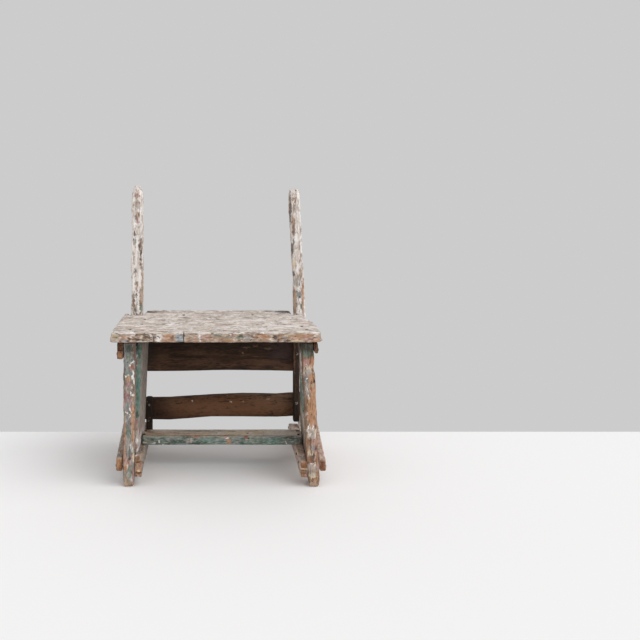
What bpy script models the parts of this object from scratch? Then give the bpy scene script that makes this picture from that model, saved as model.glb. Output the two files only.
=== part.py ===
"""Weathered work stool: a nailed timber seat on two side frames whose back posts run on above it.

Units are metres, +Z is up, and the front of the stool faces -Y.
Each side frame is a sandwich of an outer rail, the leg and the post, and an inner rail. It is drawn
in its own coordinates: "out" from the middle of the leg, "back" from the front face, and "up".
"""
import math

import bmesh
import bpy
from mathutils import Matrix, Vector

LEFT = -1
RIGHT = 1
SIDES = {LEFT: "left", RIGHT: "right"}

# Fits
CLEARANCE = 0.0003
OVERRUN = 0.006
EDGE_WEAR = 0.0022

# Side frames, set at the floor, turned out towards the rear and leaning in towards the top
LEFT_FRAME_OFFSET = 0.2225
RIGHT_FRAME_OFFSET = 0.238
TOE_OUT = {LEFT: math.radians(3.6), RIGHT: math.radians(1.6)}
LEAN_SHARE = {LEFT: 0.006, RIGHT: 0.044}

# Legs and posts
LEG_WIDTH = 0.030
LEG_DEPTH = 0.048
LEFT_POST_WIDTH = 0.036
RIGHT_POST_WIDTH = 0.034
POST_DEPTH = 0.055
POST_SPACING = 0.239
LEFT_POST_HEIGHT = 0.755
RIGHT_POST_HEIGHT = 0.746

# Seat
SEAT_TOP_HEIGHT = 0.388
SEAT_THICKNESS = 0.029
SEAT_WIDTH = 0.5225
SEAT_LEFT_OFFSET = 0.265
SEAT_FRONT_OVERHANG = 0.014
SEAT_REAR_OVERHANG = 0.036
SEAT_EDGE_ROUND_WIDTH = 0.004
SEAT_FLARE_WIDTH = 0.010
SEAT_RIGHT_WEAR_WIDTH = 0.016
EAR_DEPTH = 0.025
EAR_SLOPE_DEPTH = 0.018
NOTCH_GAP = 0.0025
KERF_WIDTH = 0.002
KERF_DEPTH = 0.014

# Side planks
PLANK_THICKNESS = 0.0155
PLANK_FRONT_GAP = 0.008
PLANK_REAR_GAP = 0.0045
LEFT_PLANK_INSET = 0.0037
RIGHT_PLANK_FOOT_DEPTH = 0.017

# Rails under the seat
UPPER_RAIL_REAR_INSET = 0.004
LEFT_UPPER_RAIL_THICKNESS = 0.0150
RIGHT_UPPER_RAIL_THICKNESS = 0.0095
LEFT_UPPER_RAIL_HEIGHT = 0.042
RIGHT_UPPER_RAIL_HEIGHT = 0.028

# Low rails outside the legs
LEFT_OUTER_RAIL_OVERHANG = 0.020
RIGHT_OUTER_RAIL_OVERHANG = 0.014
OUTER_RAIL_BOTTOM_HEIGHT = 0.040
LEFT_OUTER_RAIL_HEIGHT = 0.034
RIGHT_OUTER_RAIL_HEIGHT = 0.029
OUTER_RAIL_FRONT_THICKNESS = 0.0155
LEFT_OUTER_RAIL_REAR_THICKNESS = 0.018
RIGHT_OUTER_RAIL_REAR_THICKNESS = 0.023

# Low rails inside the legs, the right one stopping short of the post's rear face
LEFT_INNER_RAIL_OVERHANG = 0.004
RIGHT_INNER_RAIL_REAR_INSET = 0.011
INNER_RAIL_BOTTOM_HEIGHT = 0.0235
INNER_RAIL_HEIGHT = 0.0385
LEFT_LIP_HEIGHT = 0.018
RIGHT_LIP_HEIGHT = 0.001
LIP_LENGTH = 0.026
INNER_RAIL_FRONT_THICKNESS = 0.0175
LEFT_INNER_RAIL_REAR_THICKNESS = 0.0235
RIGHT_INNER_RAIL_REAR_THICKNESS = 0.0275

# Front stretcher
STRETCHER_FRONT_OFFSET = 0.130
STRETCHER_DEPTH = 0.066
STRETCHER_THICKNESS = 0.024
STRETCHER_LEFT_LAP_LENGTH = 0.0085
STRETCHER_RIGHT_GAP = 0.0006
STRETCHER_CORNER_LENGTH = 0.007

# Rear boards, on the fronts of the posts
REAR_BOARD_THICKNESS = 0.022
APRON_HEIGHT = 0.1307
BOARD_HEIGHT = 0.067
LEFT_BOARD_BOTTOM_HEIGHT = 0.0885
RIGHT_BOARD_BOTTOM_HEIGHT = 0.1015
BOARD_LAP_LENGTH = 0.010

# Upright batten and cleat in front of the rear boards
BATTEN_WIDTH = 0.0182
BATTEN_DEPTH = 0.022
BATTEN_DROP_LENGTH = 0.010
BATTEN_INSET = 0.0190
CLEAT_WIDTH = 0.018
CLEAT_INSET = 0.0160
CLEAT_LENGTH = 0.098

# Nails
NAIL_RADIUS = 0.0014
NAIL_HEAD_RADIUS = 0.0040
NAIL_HEAD_HEIGHT = 0.0014
NAIL_POINT_LENGTH = 0.005
SEAT_NAIL_LENGTH = 0.050
STRETCHER_NAIL_LENGTH = 0.043
RAIL_NAIL_LENGTH = 0.034
BOARD_NAIL_LENGTH = 0.042
BATTEN_NAIL_LENGTH = 0.038
NAIL_SIDES = 8
HEAD_CROWN_SHARE = 0.55
POINT_TIP_SHARE = 0.25

# Wear along each upright: height share, then how much of the width is gone from its inner and
# outer face, and of the depth from its front and rear face
LEG_WEAR_SHARES = {
    LEFT: ((0.00, 0.08, 0.08, 0.06, 0.06), (0.05, 0.00, 0.01, 0.00, 0.00), (0.22, 0.02, 0.00, 0.01, 0.00),
           (0.45, 0.00, 0.05, 0.00, 0.02), (0.70, 0.03, 0.02, 0.01, 0.00), (1.00, 0.01, 0.00, 0.00, 0.00)),
    RIGHT: ((0.00, 0.10, 0.08, 0.06, 0.06), (0.05, 0.02, 0.00, 0.00, 0.00), (0.30, 0.00, 0.03, 0.00, 0.01),
            (0.60, 0.03, 0.02, 0.01, 0.00), (0.78, 0.00, 0.00, 0.00, 0.00), (0.82, 0.01, 0.13, 0.04, 0.02),
            (0.86, 0.02, 0.04, 0.00, 0.00), (1.00, 0.00, 0.02, 0.00, 0.00)),
}
POST_WEAR_SHARES = {
    LEFT: ((0.00, 0.06, 0.06, 0.05, 0.05), (0.03, 0.00, 0.00, 0.00, 0.00), (0.48, 0.00, 0.00, 0.00, 0.00),
           (0.55, 0.02, 0.09, 0.00, 0.03), (0.62, 0.00, 0.07, 0.02, 0.00), (0.68, 0.01, 0.01, 0.00, 0.02),
           (0.77, 0.03, 0.06, 0.02, 0.00), (0.84, 0.02, 0.12, 0.00, 0.03), (0.91, 0.04, 0.05, 0.03, 0.04),
           (0.97, 0.07, 0.09, 0.05, 0.06), (1.00, 0.24, 0.26, 0.14, 0.16)),
    RIGHT: ((0.00, 0.06, 0.06, 0.05, 0.05), (0.03, 0.00, 0.00, 0.00, 0.00), (0.48, 0.00, 0.00, 0.00, 0.00),
            (0.56, 0.02, 0.03, 0.00, 0.02), (0.65, 0.10, 0.00, 0.02, 0.00), (0.74, 0.02, 0.09, 0.00, 0.03),
            (0.83, 0.06, 0.02, 0.03, 0.00), (0.92, 0.00, 0.08, 0.01, 0.03), (0.98, 0.03, 0.06, 0.04, 0.04),
            (1.00, 0.12, 0.16, 0.08, 0.10)),
}
# How far each side plank tilts in as it rises, and turns in towards the rear, from its side frame
PLANK_TILT_SHARES = {LEFT: 0.037, RIGHT: 0.013}
PLANK_TURN_SHARES = {LEFT: 0.0528, RIGHT: 0}
# Wavy edges of the rear boards: length share, then how much of the height is gone below and above
APRON_WEAR_SHARES = ((0.00, 0.00, 0.00), (0.30, 0.01, 0.00), (0.55, 0.03, 0.00), (0.80, 0.02, 0.00),
                     (1.00, 0.00, 0.00))
BOARD_WEAR_SHARES = ((0.00, 0.06, 0.05), (0.22, 0.00, 0.09), (0.45, 0.08, 0.02), (0.63, 0.05, 0.00),
                     (0.82, 0.00, 0.06), (1.00, 0.03, 0.00))
# Profile of the right side plank behind its front edge, as shares of its depth and of its height
RIGHT_PLANK_SHARES = ((0.00, 0.00), (1.00, 0.00), (1.00, 0.20), (0.43, 0.56), (0.19, 0.80), (0.19, 1.00),
                      (0.00, 1.00))
# The seat's worn right edge, as shares of the way back and of the wear, and its rear edge between
# the notches, as shares of the way across and of its reach
SEAT_RIGHT_WEAR_SHARES = ((0.60, 0.00), (0.72, 0.50), (0.82, 1.00))
SEAT_REAR_SHARES = ((0.00, 0.97), (0.30, 1.00), (0.70, 1.00), (1.00, 0.95))
# Saw cuts in the front edge of the seat, as shares of its width from the left
KERF_SHARES = (0.207, 0.347)
# Nail places on a joint, as shares of the lapped depth and of the rail's height
OUTER_NAIL_SHARES = ((0.28, 0.30),)
INNER_NAIL_SHARES = ((0.72, 0.70),)
BOARD_NAIL_SHARES = (0.24, 0.76)
APRON_NAIL_SHARES = (0.22, 0.60)
STRETCHER_NAIL_SHARES = (0.25, 0.75)
APRON_TOP_NAIL_SHARES = (0.30, 0.70)
PLANK_NAIL_SHARES = (0.22, 0.86)
PLANK_FOOT_NAIL_SHARE = 0.40
PLANK_TOP_NAIL_SHARES = {LEFT: (0.28, 0.74), RIGHT: (0.10,)}
# Batten nails, as shares of the heights of the boards behind it, and cleat nails, of the cleat's
BATTEN_BOARD_NAIL_SHARE = 0.65
BATTEN_APRON_NAIL_SHARE = 0.42
CLEAT_NAIL_SHARES = (0.42, 0.80)

# Heights and places that follow from the sizes above
SEAT_UNDERSIDE = SEAT_TOP_HEIGHT - SEAT_THICKNESS
FRAME_TOP = SEAT_UNDERSIDE - CLEARANCE
APRON_BOTTOM = FRAME_TOP - APRON_HEIGHT
BATTEN_BOTTOM = RIGHT_BOARD_BOTTOM_HEIGHT - BATTEN_DROP_LENGTH
INNER_RAIL_TOP = INNER_RAIL_BOTTOM_HEIGHT + INNER_RAIL_HEIGHT
RIGHT_PLANK_BOTTOM = INNER_RAIL_TOP - RIGHT_PLANK_FOOT_DEPTH
PLANK_FRONT = LEG_DEPTH + PLANK_FRONT_GAP
POST_FRONT = LEG_DEPTH + POST_SPACING
POST_REAR = POST_FRONT + POST_DEPTH

# The same sizes by side
FRAME_X = {LEFT: -LEFT_FRAME_OFFSET, RIGHT: RIGHT_FRAME_OFFSET}
LEG_HALF = LEG_WIDTH / 2
POST_WIDTH = {LEFT: LEFT_POST_WIDTH, RIGHT: RIGHT_POST_WIDTH}
POST_HALF = {LEFT: LEFT_POST_WIDTH / 2, RIGHT: RIGHT_POST_WIDTH / 2}
POST_HEIGHT = {LEFT: LEFT_POST_HEIGHT, RIGHT: RIGHT_POST_HEIGHT}
PLANK_INSET = {LEFT: LEFT_PLANK_INSET, RIGHT: 0}
UPPER_RAIL_THICKNESS = {LEFT: LEFT_UPPER_RAIL_THICKNESS, RIGHT: RIGHT_UPPER_RAIL_THICKNESS}
UPPER_RAIL_HEIGHT = {LEFT: LEFT_UPPER_RAIL_HEIGHT, RIGHT: RIGHT_UPPER_RAIL_HEIGHT}
OUTER_RAIL_LENGTH = {LEFT: POST_REAR + LEFT_OUTER_RAIL_OVERHANG, RIGHT: POST_REAR + RIGHT_OUTER_RAIL_OVERHANG}
OUTER_RAIL_HEIGHT = {LEFT: LEFT_OUTER_RAIL_HEIGHT, RIGHT: RIGHT_OUTER_RAIL_HEIGHT}
OUTER_RAIL_REAR_THICKNESS = {LEFT: LEFT_OUTER_RAIL_REAR_THICKNESS, RIGHT: RIGHT_OUTER_RAIL_REAR_THICKNESS}
INNER_RAIL_LENGTH = {LEFT: POST_REAR + LEFT_INNER_RAIL_OVERHANG,
                     RIGHT: POST_REAR - RIGHT_INNER_RAIL_REAR_INSET}
INNER_RAIL_REAR_THICKNESS = {LEFT: LEFT_INNER_RAIL_REAR_THICKNESS, RIGHT: RIGHT_INNER_RAIL_REAR_THICKNESS}
LIP_HEIGHT = {LEFT: LEFT_LIP_HEIGHT, RIGHT: RIGHT_LIP_HEIGHT}
BOARD_BOTTOM = {LEFT: LEFT_BOARD_BOTTOM_HEIGHT, RIGHT: RIGHT_BOARD_BOTTOM_HEIGHT}

# Old paint and bare timber: colour and roughness of each finish
FINISHES = {
    "crusted_paint": ((0.42, 0.37, 0.31), 0.90),
    "grey_green_paint": ((0.28, 0.31, 0.26), 0.80),
    "worn_orange_timber": ((0.42, 0.27, 0.16), 0.85),
    "white_washed_timber": ((0.50, 0.45, 0.40), 0.90),
    "grey_paint": ((0.30, 0.28, 0.25), 0.85),
    "dark_timber": ((0.06, 0.04, 0.03), 0.80),
    "green_paint": ((0.13, 0.19, 0.15), 0.75),
    "end_grain_timber": ((0.36, 0.20, 0.10), 0.85),
    "rusted_iron": ((0.11, 0.07, 0.05), 0.75),
}


def clear_scene():
    """Removes whatever the open file holds, so that the script can run again."""
    for item in list(bpy.data.objects):
        bpy.data.objects.remove(item, do_unlink=True)


def finish_material(name):
    """One Principled material for each finish, made the first time it is asked for."""
    material = bpy.data.materials.get(name)
    if material is None:
        colour, roughness = FINISHES[name]
        material = bpy.data.materials.new(name)
        material.use_nodes = True
        shader = material.node_tree.nodes["Principled BSDF"]
        shader.inputs["Base Color"].default_value = (*colour, 1)
        shader.inputs["Roughness"].default_value = roughness
        shader.inputs["Metallic"].default_value = 0
    return material


def add_object(name, mesh, parent, finish=None):
    """Links a mesh under a parent, with its own copy of the finish."""
    piece = bpy.data.objects.new(name, mesh)
    bpy.context.scene.collection.objects.link(piece)
    piece.parent = parent
    if finish:
        own = finish_material(finish).copy()
        own.name = name + "_" + finish
        mesh.materials.append(own)
    return piece


def mesh_from(bm, name):
    """Closes off a bmesh: faces point out, and the mesh is named for its piece."""
    bmesh.ops.recalc_face_normals(bm, faces=bm.faces)
    mesh = bpy.data.meshes.new(name)
    bm.to_mesh(mesh)
    bm.free()
    return mesh


def blend(start, end, share):
    """The value a share of the way from start to end."""
    return start + (end - start) * share


def side_point(side, out, back, up):
    """A point of a side frame, in the frame's own axes: the lean moves it in as it goes up."""
    return Vector((side * (out - LEAN_SHARE[side] * up), back, up))


def world_point(side, out, back, up):
    """The same point in the stool's axes, with the frame turned out and set at its place."""
    point = side_point(side, out, back, up)
    turn = -side * TOE_OUT[side]
    along_x = point.x * math.cos(turn) - point.y * math.sin(turn)
    along_y = point.x * math.sin(turn) + point.y * math.cos(turn)
    return Vector((FRAME_X[side] + along_x, along_y, point.z))


def ring_points(bounds, chamfer):
    """The eight corners of a chamfered rectangle, bounds being low and high on its two axes."""
    low_one, high_one, low_two, high_two = bounds
    return ((low_one + chamfer, low_two), (high_one - chamfer, low_two),
            (high_one, low_two + chamfer), (high_one, high_two - chamfer),
            (high_one - chamfer, high_two), (low_one + chamfer, high_two),
            (low_one, high_two - chamfer), (low_one, low_two + chamfer))


def shrink(bounds, by):
    """A rectangle's bounds, drawn in on all four sides."""
    return (bounds[0] + by, bounds[1] - by, bounds[2] + by, bounds[3] - by)


def sawn_timber(name, axis, stations, place, parent, finish, chamfer=EDGE_WEAR):
    """A bar of timber through sections at stations along one axis (0 out, 1 back, 2 up).

    Each station is its place along the axis and the bounds of the section on the other two axes.
    The ends and the long edges are chamfered, and place turns the three coordinates to a point.
    """
    first_place, first_bounds = stations[0]
    last_place, last_bounds = stations[-1]
    sections = [(first_place, shrink(first_bounds, chamfer)), (first_place + chamfer, first_bounds)]
    sections += list(stations[1:-1])
    sections += [(last_place - chamfer, last_bounds), (last_place, shrink(last_bounds, chamfer))]
    bm = bmesh.new()
    rings = []
    for along, bounds in sections:
        ring = []
        for one, two in ring_points(bounds, chamfer):
            coordinates = [one, two]
            coordinates.insert(axis, along)
            ring.append(bm.verts.new(place(*coordinates)))
        rings.append(ring)
    for ring, following in zip(rings, rings[1:]):
        for index in range(len(ring)):
            after = (index + 1) % len(ring)
            bm.faces.new((ring[index], ring[after], following[after], following[index]))
    bm.faces.new(rings[0])
    bm.faces.new(rings[-1])
    return add_object(name, mesh_from(bm, name), parent, finish)


def extruded_outline(name, points, place, parent, finish, depth, wear):
    """A plate from an outline: points are pairs, and place takes a pair and a depth."""
    bm = bmesh.new()
    low = [bm.verts.new(place(one, two, 0)) for one, two in points]
    high = [bm.verts.new(place(one, two, depth)) for one, two in points]
    bm.faces.new(low)
    bm.faces.new(high)
    for index in range(len(points)):
        after = (index + 1) % len(points)
        bm.faces.new((low[index], low[after], high[after], high[index]))
    piece = add_object(name, mesh_from(bm, name), parent, finish)
    bevel = piece.modifiers.new("worn_edges", "BEVEL")
    bevel.width = wear
    bevel.segments = 1
    bevel.limit_method = "ANGLE"
    return piece


def worn_bounds(shares, low_one, high_one, low_two, high_two):
    """The bounds of a section once the given shares of its width and depth are worn away."""
    inner, outer, front, rear = shares
    width = high_one - low_one
    depth = high_two - low_two
    return (low_one + inner * width, high_one - outer * width,
            low_two + front * depth, high_two - rear * depth)


def in_frame(side):
    """A placing function for pieces drawn in a side frame's own coordinates."""
    def place(out, back, up):
        return side_point(side, out, back, up)

    return place


def upright(name, side, back, depth, width, height, wear_shares, parent, finish):
    """A leg or post standing on the floor, worn as its table says."""
    stations = []
    for share, *worn in wear_shares:
        stations.append((share * height, worn_bounds(worn, -width / 2, width / 2, back, back + depth)))
    return sawn_timber(name, 2, stations, in_frame(side), parent, finish)


def side_rail(name, side, stations, parent, finish):
    """A rail of a side frame, through sections along its length."""
    return sawn_timber(name, 1, stations, in_frame(side), parent, finish)


def frame_half(side, back):
    """Half the width between the rails: the leg's in front, the post's behind, even between them."""
    share = (back - LEG_DEPTH) / (POST_FRONT - LEG_DEPTH)
    return blend(LEG_HALF, POST_HALF[side], min(max(share, 0), 1))


def rail_bends(length):
    """Where a rail needs a section: its ends, and where it leaves the leg and meets the post."""
    return (0, LEG_DEPTH, POST_FRONT, length)


def outer_rail_face(side, back):
    """How far out the outer face of the low outer rail is, at a distance back."""
    share = back / OUTER_RAIL_LENGTH[side]
    thickness = blend(OUTER_RAIL_FRONT_THICKNESS, OUTER_RAIL_REAR_THICKNESS[side], share)
    return frame_half(side, back) + CLEARANCE + thickness


def inner_rail_face(side, back):
    """How far out (a negative distance) the inner face of the low inner rail is."""
    share = back / INNER_RAIL_LENGTH[side]
    thickness = blend(INNER_RAIL_FRONT_THICKNESS, INNER_RAIL_REAR_THICKNESS[side], share)
    return -frame_half(side, back) - CLEARANCE - thickness


def plank_rear():
    """How far back the side planks reach: a gap in front of the batten and the cleat."""
    return batten_front() - PLANK_REAR_GAP


def plank_inner_face(side, back, up):
    """How far out the inner face of a side plank is: it tilts in as it rises from the rail's top."""
    tilted_in = PLANK_TILT_SHARES[side] * (up - INNER_RAIL_TOP)
    turned_in = PLANK_TURN_SHARES[side] * (back - PLANK_FRONT)
    return -LEG_HALF - PLANK_INSET[side] - tilted_in - turned_in


def add_side_frames(frames):
    """Legs, posts, rails and planks of both sides."""
    for side, word in SIDES.items():
        frame = frames[side]
        leg_finish = "grey_green_paint" if side == LEFT else "worn_orange_timber"
        upright("front_leg_" + word, side, 0, LEG_DEPTH, LEG_WIDTH, FRAME_TOP, LEG_WEAR_SHARES[side],
                frame, leg_finish)
        upright("back_post_" + word, side, POST_FRONT, POST_DEPTH, POST_WIDTH[side], POST_HEIGHT[side],
                POST_WEAR_SHARES[side], frame, "white_washed_timber")
        add_upper_rail(side, word, frame)
        add_outer_rail(side, word, frame)
        add_inner_rail(side, word, frame)
    add_planks(frames)


def add_upper_rail(side, word, frame):
    """The batten under the seat, outside the leg and the post."""
    stations = []
    for back in rail_bends(POST_REAR - UPPER_RAIL_REAR_INSET):
        inner = frame_half(side, back) + CLEARANCE
        bounds = (inner, inner + UPPER_RAIL_THICKNESS[side], FRAME_TOP - UPPER_RAIL_HEIGHT[side], FRAME_TOP)
        stations.append((back, bounds))
    side_rail("upper_rail_" + word, side, stations, frame, "end_grain_timber")


def add_outer_rail(side, word, frame):
    """The low rail outside the leg and the post, thicker towards the rear."""
    top = OUTER_RAIL_BOTTOM_HEIGHT + OUTER_RAIL_HEIGHT[side]
    stations = []
    for back in rail_bends(OUTER_RAIL_LENGTH[side]):
        inner = frame_half(side, back) + CLEARANCE
        stations.append((back, (inner, outer_rail_face(side, back), OUTER_RAIL_BOTTOM_HEIGHT, top)))
    side_rail("outer_rail_" + word, side, stations, frame, "end_grain_timber")


def add_inner_rail(side, word, frame):
    """The low rail inside the leg and the post: a lip at its front end, then flat for the stretcher."""
    lip_top = INNER_RAIL_TOP + LIP_HEIGHT[side]
    tops = [lip_top, lip_top, INNER_RAIL_TOP, INNER_RAIL_TOP, INNER_RAIL_TOP]
    places = list(rail_bends(INNER_RAIL_LENGTH[side]))
    places.insert(1, LIP_LENGTH)
    stations = []
    for back, top in zip(places, tops):
        outer = -frame_half(side, back) - CLEARANCE
        stations.append((back, (inner_rail_face(side, back), outer, INNER_RAIL_BOTTOM_HEIGHT, top)))
    side_rail("inner_rail_" + word, side, stations, frame, "white_washed_timber")


def add_plank(side, word, outline, frame):
    """An upright plank inside the legs, its outline given as distances back and heights."""
    def place(back, up, thickness):
        return side_point(side, plank_inner_face(side, back, up) + thickness, back, up)

    extruded_outline("side_plank_" + word, outline, place, frame, "grey_paint", PLANK_THICKNESS, EDGE_WEAR)


def add_planks(frames):
    """The left plank stands on its rail. The right one goes down between the rails, cut away above."""
    rear = plank_rear()
    bottom = INNER_RAIL_TOP + CLEARANCE
    outline = ((PLANK_FRONT, bottom), (rear, bottom), (rear, FRAME_TOP), (PLANK_FRONT, FRAME_TOP))
    add_plank(LEFT, "left", outline, frames[LEFT])
    outline = []
    for back_share, up_share in RIGHT_PLANK_SHARES:
        outline.append((blend(PLANK_FRONT, rear, back_share), blend(RIGHT_PLANK_BOTTOM, FRAME_TOP, up_share)))
    add_plank(RIGHT, "right", outline, frames[RIGHT])


def post_corner(side, out_share, back):
    """A corner of the post where it passes the seat, in the stool's axes."""
    return world_point(side, out_share * POST_HALF[side], back, SEAT_TOP_HEIGHT - SEAT_THICKNESS / 2)


def seat_notch(side):
    """The notch round a post: its inner edge, its front edge, and the outer edge of the post's front."""
    front_corners = [post_corner(side, share, POST_FRONT) for share in (-1, 1)]
    rear_corner = post_corner(side, -1, POST_REAR)
    inner_x = side * (min(side * front_corners[0].x, side * rear_corner.x) - NOTCH_GAP)
    return inner_x, min(corner.y for corner in front_corners) - NOTCH_GAP, front_corners[1].x


def seat_outline():
    """The seat seen from above: straight in front, notched round both posts, worn away at the right."""
    front = -SEAT_FRONT_OVERHANG
    back = POST_REAR + SEAT_REAR_OVERHANG
    left_x = -SEAT_LEFT_OFFSET
    right_x = left_x + SEAT_WIDTH
    left_rear_x = left_x - SEAT_FLARE_WIDTH
    ear = POST_FRONT + EAR_DEPTH
    left_inner, left_notch, left_outer = seat_notch(LEFT)
    right_inner, right_notch, _ = seat_notch(RIGHT)
    shoulder = right_notch - EAR_SLOPE_DEPTH
    outline = [(left_x, front), (right_x, front)]
    for along_share, worn_share in SEAT_RIGHT_WEAR_SHARES:
        outline.append((right_x - worn_share * SEAT_RIGHT_WEAR_WIDTH, blend(front, shoulder, along_share)))
    outline.append((right_x - SEAT_RIGHT_WEAR_WIDTH, right_notch))
    outline.append((right_inner, right_notch))
    for across_share, along_share in SEAT_REAR_SHARES:
        outline.append((blend(right_inner, left_inner, across_share), blend(right_notch, back, along_share)))
    outline.append((left_inner, left_notch))
    outline.append((left_outer - NOTCH_GAP, left_notch))
    outline.append((left_outer - NOTCH_GAP, ear))
    outline.append((left_rear_x, ear))
    return outline


def add_seat(root):
    """The thick seat plank and the two saw cuts in its front edge."""
    def place(along_x, along_y, up):
        return Vector((along_x, along_y, SEAT_UNDERSIDE + up))

    seat = extruded_outline("seat", seat_outline(), place, root, "crusted_paint", SEAT_THICKNESS,
                            SEAT_EDGE_ROUND_WIDTH)
    bm = bmesh.new()
    for share in KERF_SHARES:
        middle = share * SEAT_WIDTH - SEAT_LEFT_OFFSET
        bounds = ((middle - KERF_WIDTH / 2, middle + KERF_WIDTH / 2),
                  (-SEAT_FRONT_OVERHANG - OVERRUN, KERF_DEPTH - SEAT_FRONT_OVERHANG),
                  (SEAT_UNDERSIDE - OVERRUN, SEAT_TOP_HEIGHT + OVERRUN))
        add_block(bm, bounds)
    cut_with(seat, add_cutter("seat_saw_cuts", bm, root))
    return seat


def add_block(bm, bounds):
    """A plain box between low and high places on each axis."""
    made = bmesh.ops.create_cube(bm, size=1)
    for vertex in made["verts"]:
        for axis, (low, high) in enumerate(bounds):
            vertex.co[axis] = high if vertex.co[axis] > 0 else low


def add_cutter(name, bm, parent):
    """A hidden object that only cuts others."""
    cutter = add_object(name, mesh_from(bm, name), parent)
    cutter.hide_render = True
    cutter.display_type = "WIRE"
    return cutter


def cut_with(piece, cutter):
    """Cuts one object out of another."""
    cut = piece.modifiers.new(cutter.name, "BOOLEAN")
    cut.operation = "DIFFERENCE"
    cut.solver = "EXACT"
    cut.object = cutter


def straight_place(along_x, along_y, up):
    """Boards that cross the stool are drawn straight in its axes."""
    return Vector((along_x, along_y, up))


def rear_boards_back():
    """Where the rear boards' rear faces are: just in front of the nearest corner of both posts."""
    corners = []
    for side in SIDES:
        corners += [world_point(side, out, POST_FRONT, 0).y for out in (-POST_HALF[side], POST_HALF[side])]
    return min(corners) - CLEARANCE


def board_end(side, up):
    """Where a rear board ends: a little past the middle of the post."""
    return world_point(side, BOARD_LAP_LENGTH, POST_FRONT, up).x


def add_rear_apron(root):
    """The wide board under the back of the seat."""
    back = rear_boards_back()
    left_end = board_end(LEFT, FRAME_TOP)
    right_end = board_end(RIGHT, FRAME_TOP)
    stations = []
    for share, below, above in APRON_WEAR_SHARES:
        bounds = (back - REAR_BOARD_THICKNESS, back, APRON_BOTTOM + below * APRON_HEIGHT,
                  FRAME_TOP - above * APRON_HEIGHT)
        stations.append((blend(left_end, right_end, share), bounds))
    sawn_timber("rear_apron", 0, stations, straight_place, root, "dark_timber")


def rear_board_bottom(share):
    """The lower rear board climbs from left to right."""
    return blend(BOARD_BOTTOM[LEFT], BOARD_BOTTOM[RIGHT], share)


def add_rear_board(root):
    """The narrow wavy board lower down."""
    back = rear_boards_back()
    left_end = board_end(LEFT, BOARD_BOTTOM[LEFT])
    right_end = board_end(RIGHT, BOARD_BOTTOM[RIGHT])
    stations = []
    for share, below, above in BOARD_WEAR_SHARES:
        bottom = rear_board_bottom(share)
        bounds = (back - REAR_BOARD_THICKNESS, back, bottom + below * BOARD_HEIGHT,
                  bottom + BOARD_HEIGHT - above * BOARD_HEIGHT)
        stations.append((blend(left_end, right_end, share), bounds))
    sawn_timber("rear_board", 0, stations, straight_place, root, "dark_timber")


def inner_rail_edge(side):
    """The inner edge of an inner rail's top, where the middle of the stretcher crosses it."""
    middle = STRETCHER_FRONT_OFFSET + STRETCHER_DEPTH / 2
    return world_point(side, inner_rail_face(side, middle), middle, INNER_RAIL_TOP).x


def stretcher_ends():
    """The stretcher's two ends: a lap onto the left inner rail, and just short of the right plank."""
    left = inner_rail_edge(LEFT) - STRETCHER_LEFT_LAP_LENGTH
    top = INNER_RAIL_TOP + CLEARANCE + STRETCHER_THICKNESS
    back = STRETCHER_FRONT_OFFSET
    plank = world_point(RIGHT, plank_inner_face(RIGHT, back, top), back, top).x
    return left, plank - STRETCHER_RIGHT_GAP


def stretcher_nail_places():
    """How far along the stretcher its nails are: over the middles of its laps on the two inner rails."""
    left, right = stretcher_ends()
    return left + STRETCHER_LEFT_LAP_LENGTH / 2, (inner_rail_edge(RIGHT) + right) / 2


def add_front_stretcher(root):
    """The flat board across the inner rails, its right end broken away below."""
    left, right = stretcher_ends()
    bottom = INNER_RAIL_TOP + CLEARANCE
    top = bottom + STRETCHER_THICKNESS
    rear = STRETCHER_FRONT_OFFSET + STRETCHER_DEPTH
    whole = (STRETCHER_FRONT_OFFSET, rear, bottom, top)
    broken = (STRETCHER_FRONT_OFFSET + STRETCHER_CORNER_LENGTH, rear, bottom, top)
    stations = ((left, whole), (right - 2 * STRETCHER_CORNER_LENGTH, whole), (right, broken))
    sawn_timber("front_stretcher", 0, stations, straight_place, root, "green_paint")


def batten_left():
    """The batten's left face: inset from the inner face of the right post at its foot."""
    return world_point(RIGHT, -POST_HALF[RIGHT], POST_FRONT, BATTEN_BOTTOM).x - BATTEN_INSET


def cleat_right():
    """The cleat's right face: inset from the inner edge of the left post."""
    return world_point(LEFT, -POST_HALF[LEFT], POST_FRONT, INNER_RAIL_TOP).x + CLEAT_INSET + CLEAT_WIDTH


def batten_front():
    """Where the front faces of the batten and the cleat are."""
    return rear_boards_back() - REAR_BOARD_THICKNESS - CLEARANCE - BATTEN_DEPTH


def add_batten_and_cleat(root):
    """The two uprights nailed to the fronts of the rear boards."""
    front = batten_front()
    rear = front + BATTEN_DEPTH
    left = batten_left()
    bounds = (left, left + BATTEN_WIDTH, front, rear)
    sawn_timber("rear_batten_right", 2, ((BATTEN_BOTTOM, bounds), (FRAME_TOP, bounds)), straight_place,
                root, "dark_timber")
    right = cleat_right()
    bottom = INNER_RAIL_TOP + CLEARANCE
    bounds = (right - CLEAT_WIDTH, right, front, rear)
    sawn_timber("rear_cleat_left", 2, ((bottom, bounds), (bottom + CLEAT_LENGTH, bounds)), straight_place,
                root, "dark_timber")


def turned(bm, profile):
    """Turns a profile of (along, radius) pairs about the +Z axis."""
    rings = []
    for along, radius in profile:
        ring = []
        for index in range(NAIL_SIDES):
            angle = math.tau * index / NAIL_SIDES
            ring.append(bm.verts.new((radius * math.cos(angle), radius * math.sin(angle), along)))
        rings.append(ring)
    for ring, following in zip(rings, rings[1:]):
        for index in range(NAIL_SIDES):
            after = (index + 1) % NAIL_SIDES
            bm.faces.new((ring[index], ring[after], following[after], following[index]))
    bm.faces.new(rings[0])
    bm.faces.new(rings[-1])


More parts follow.
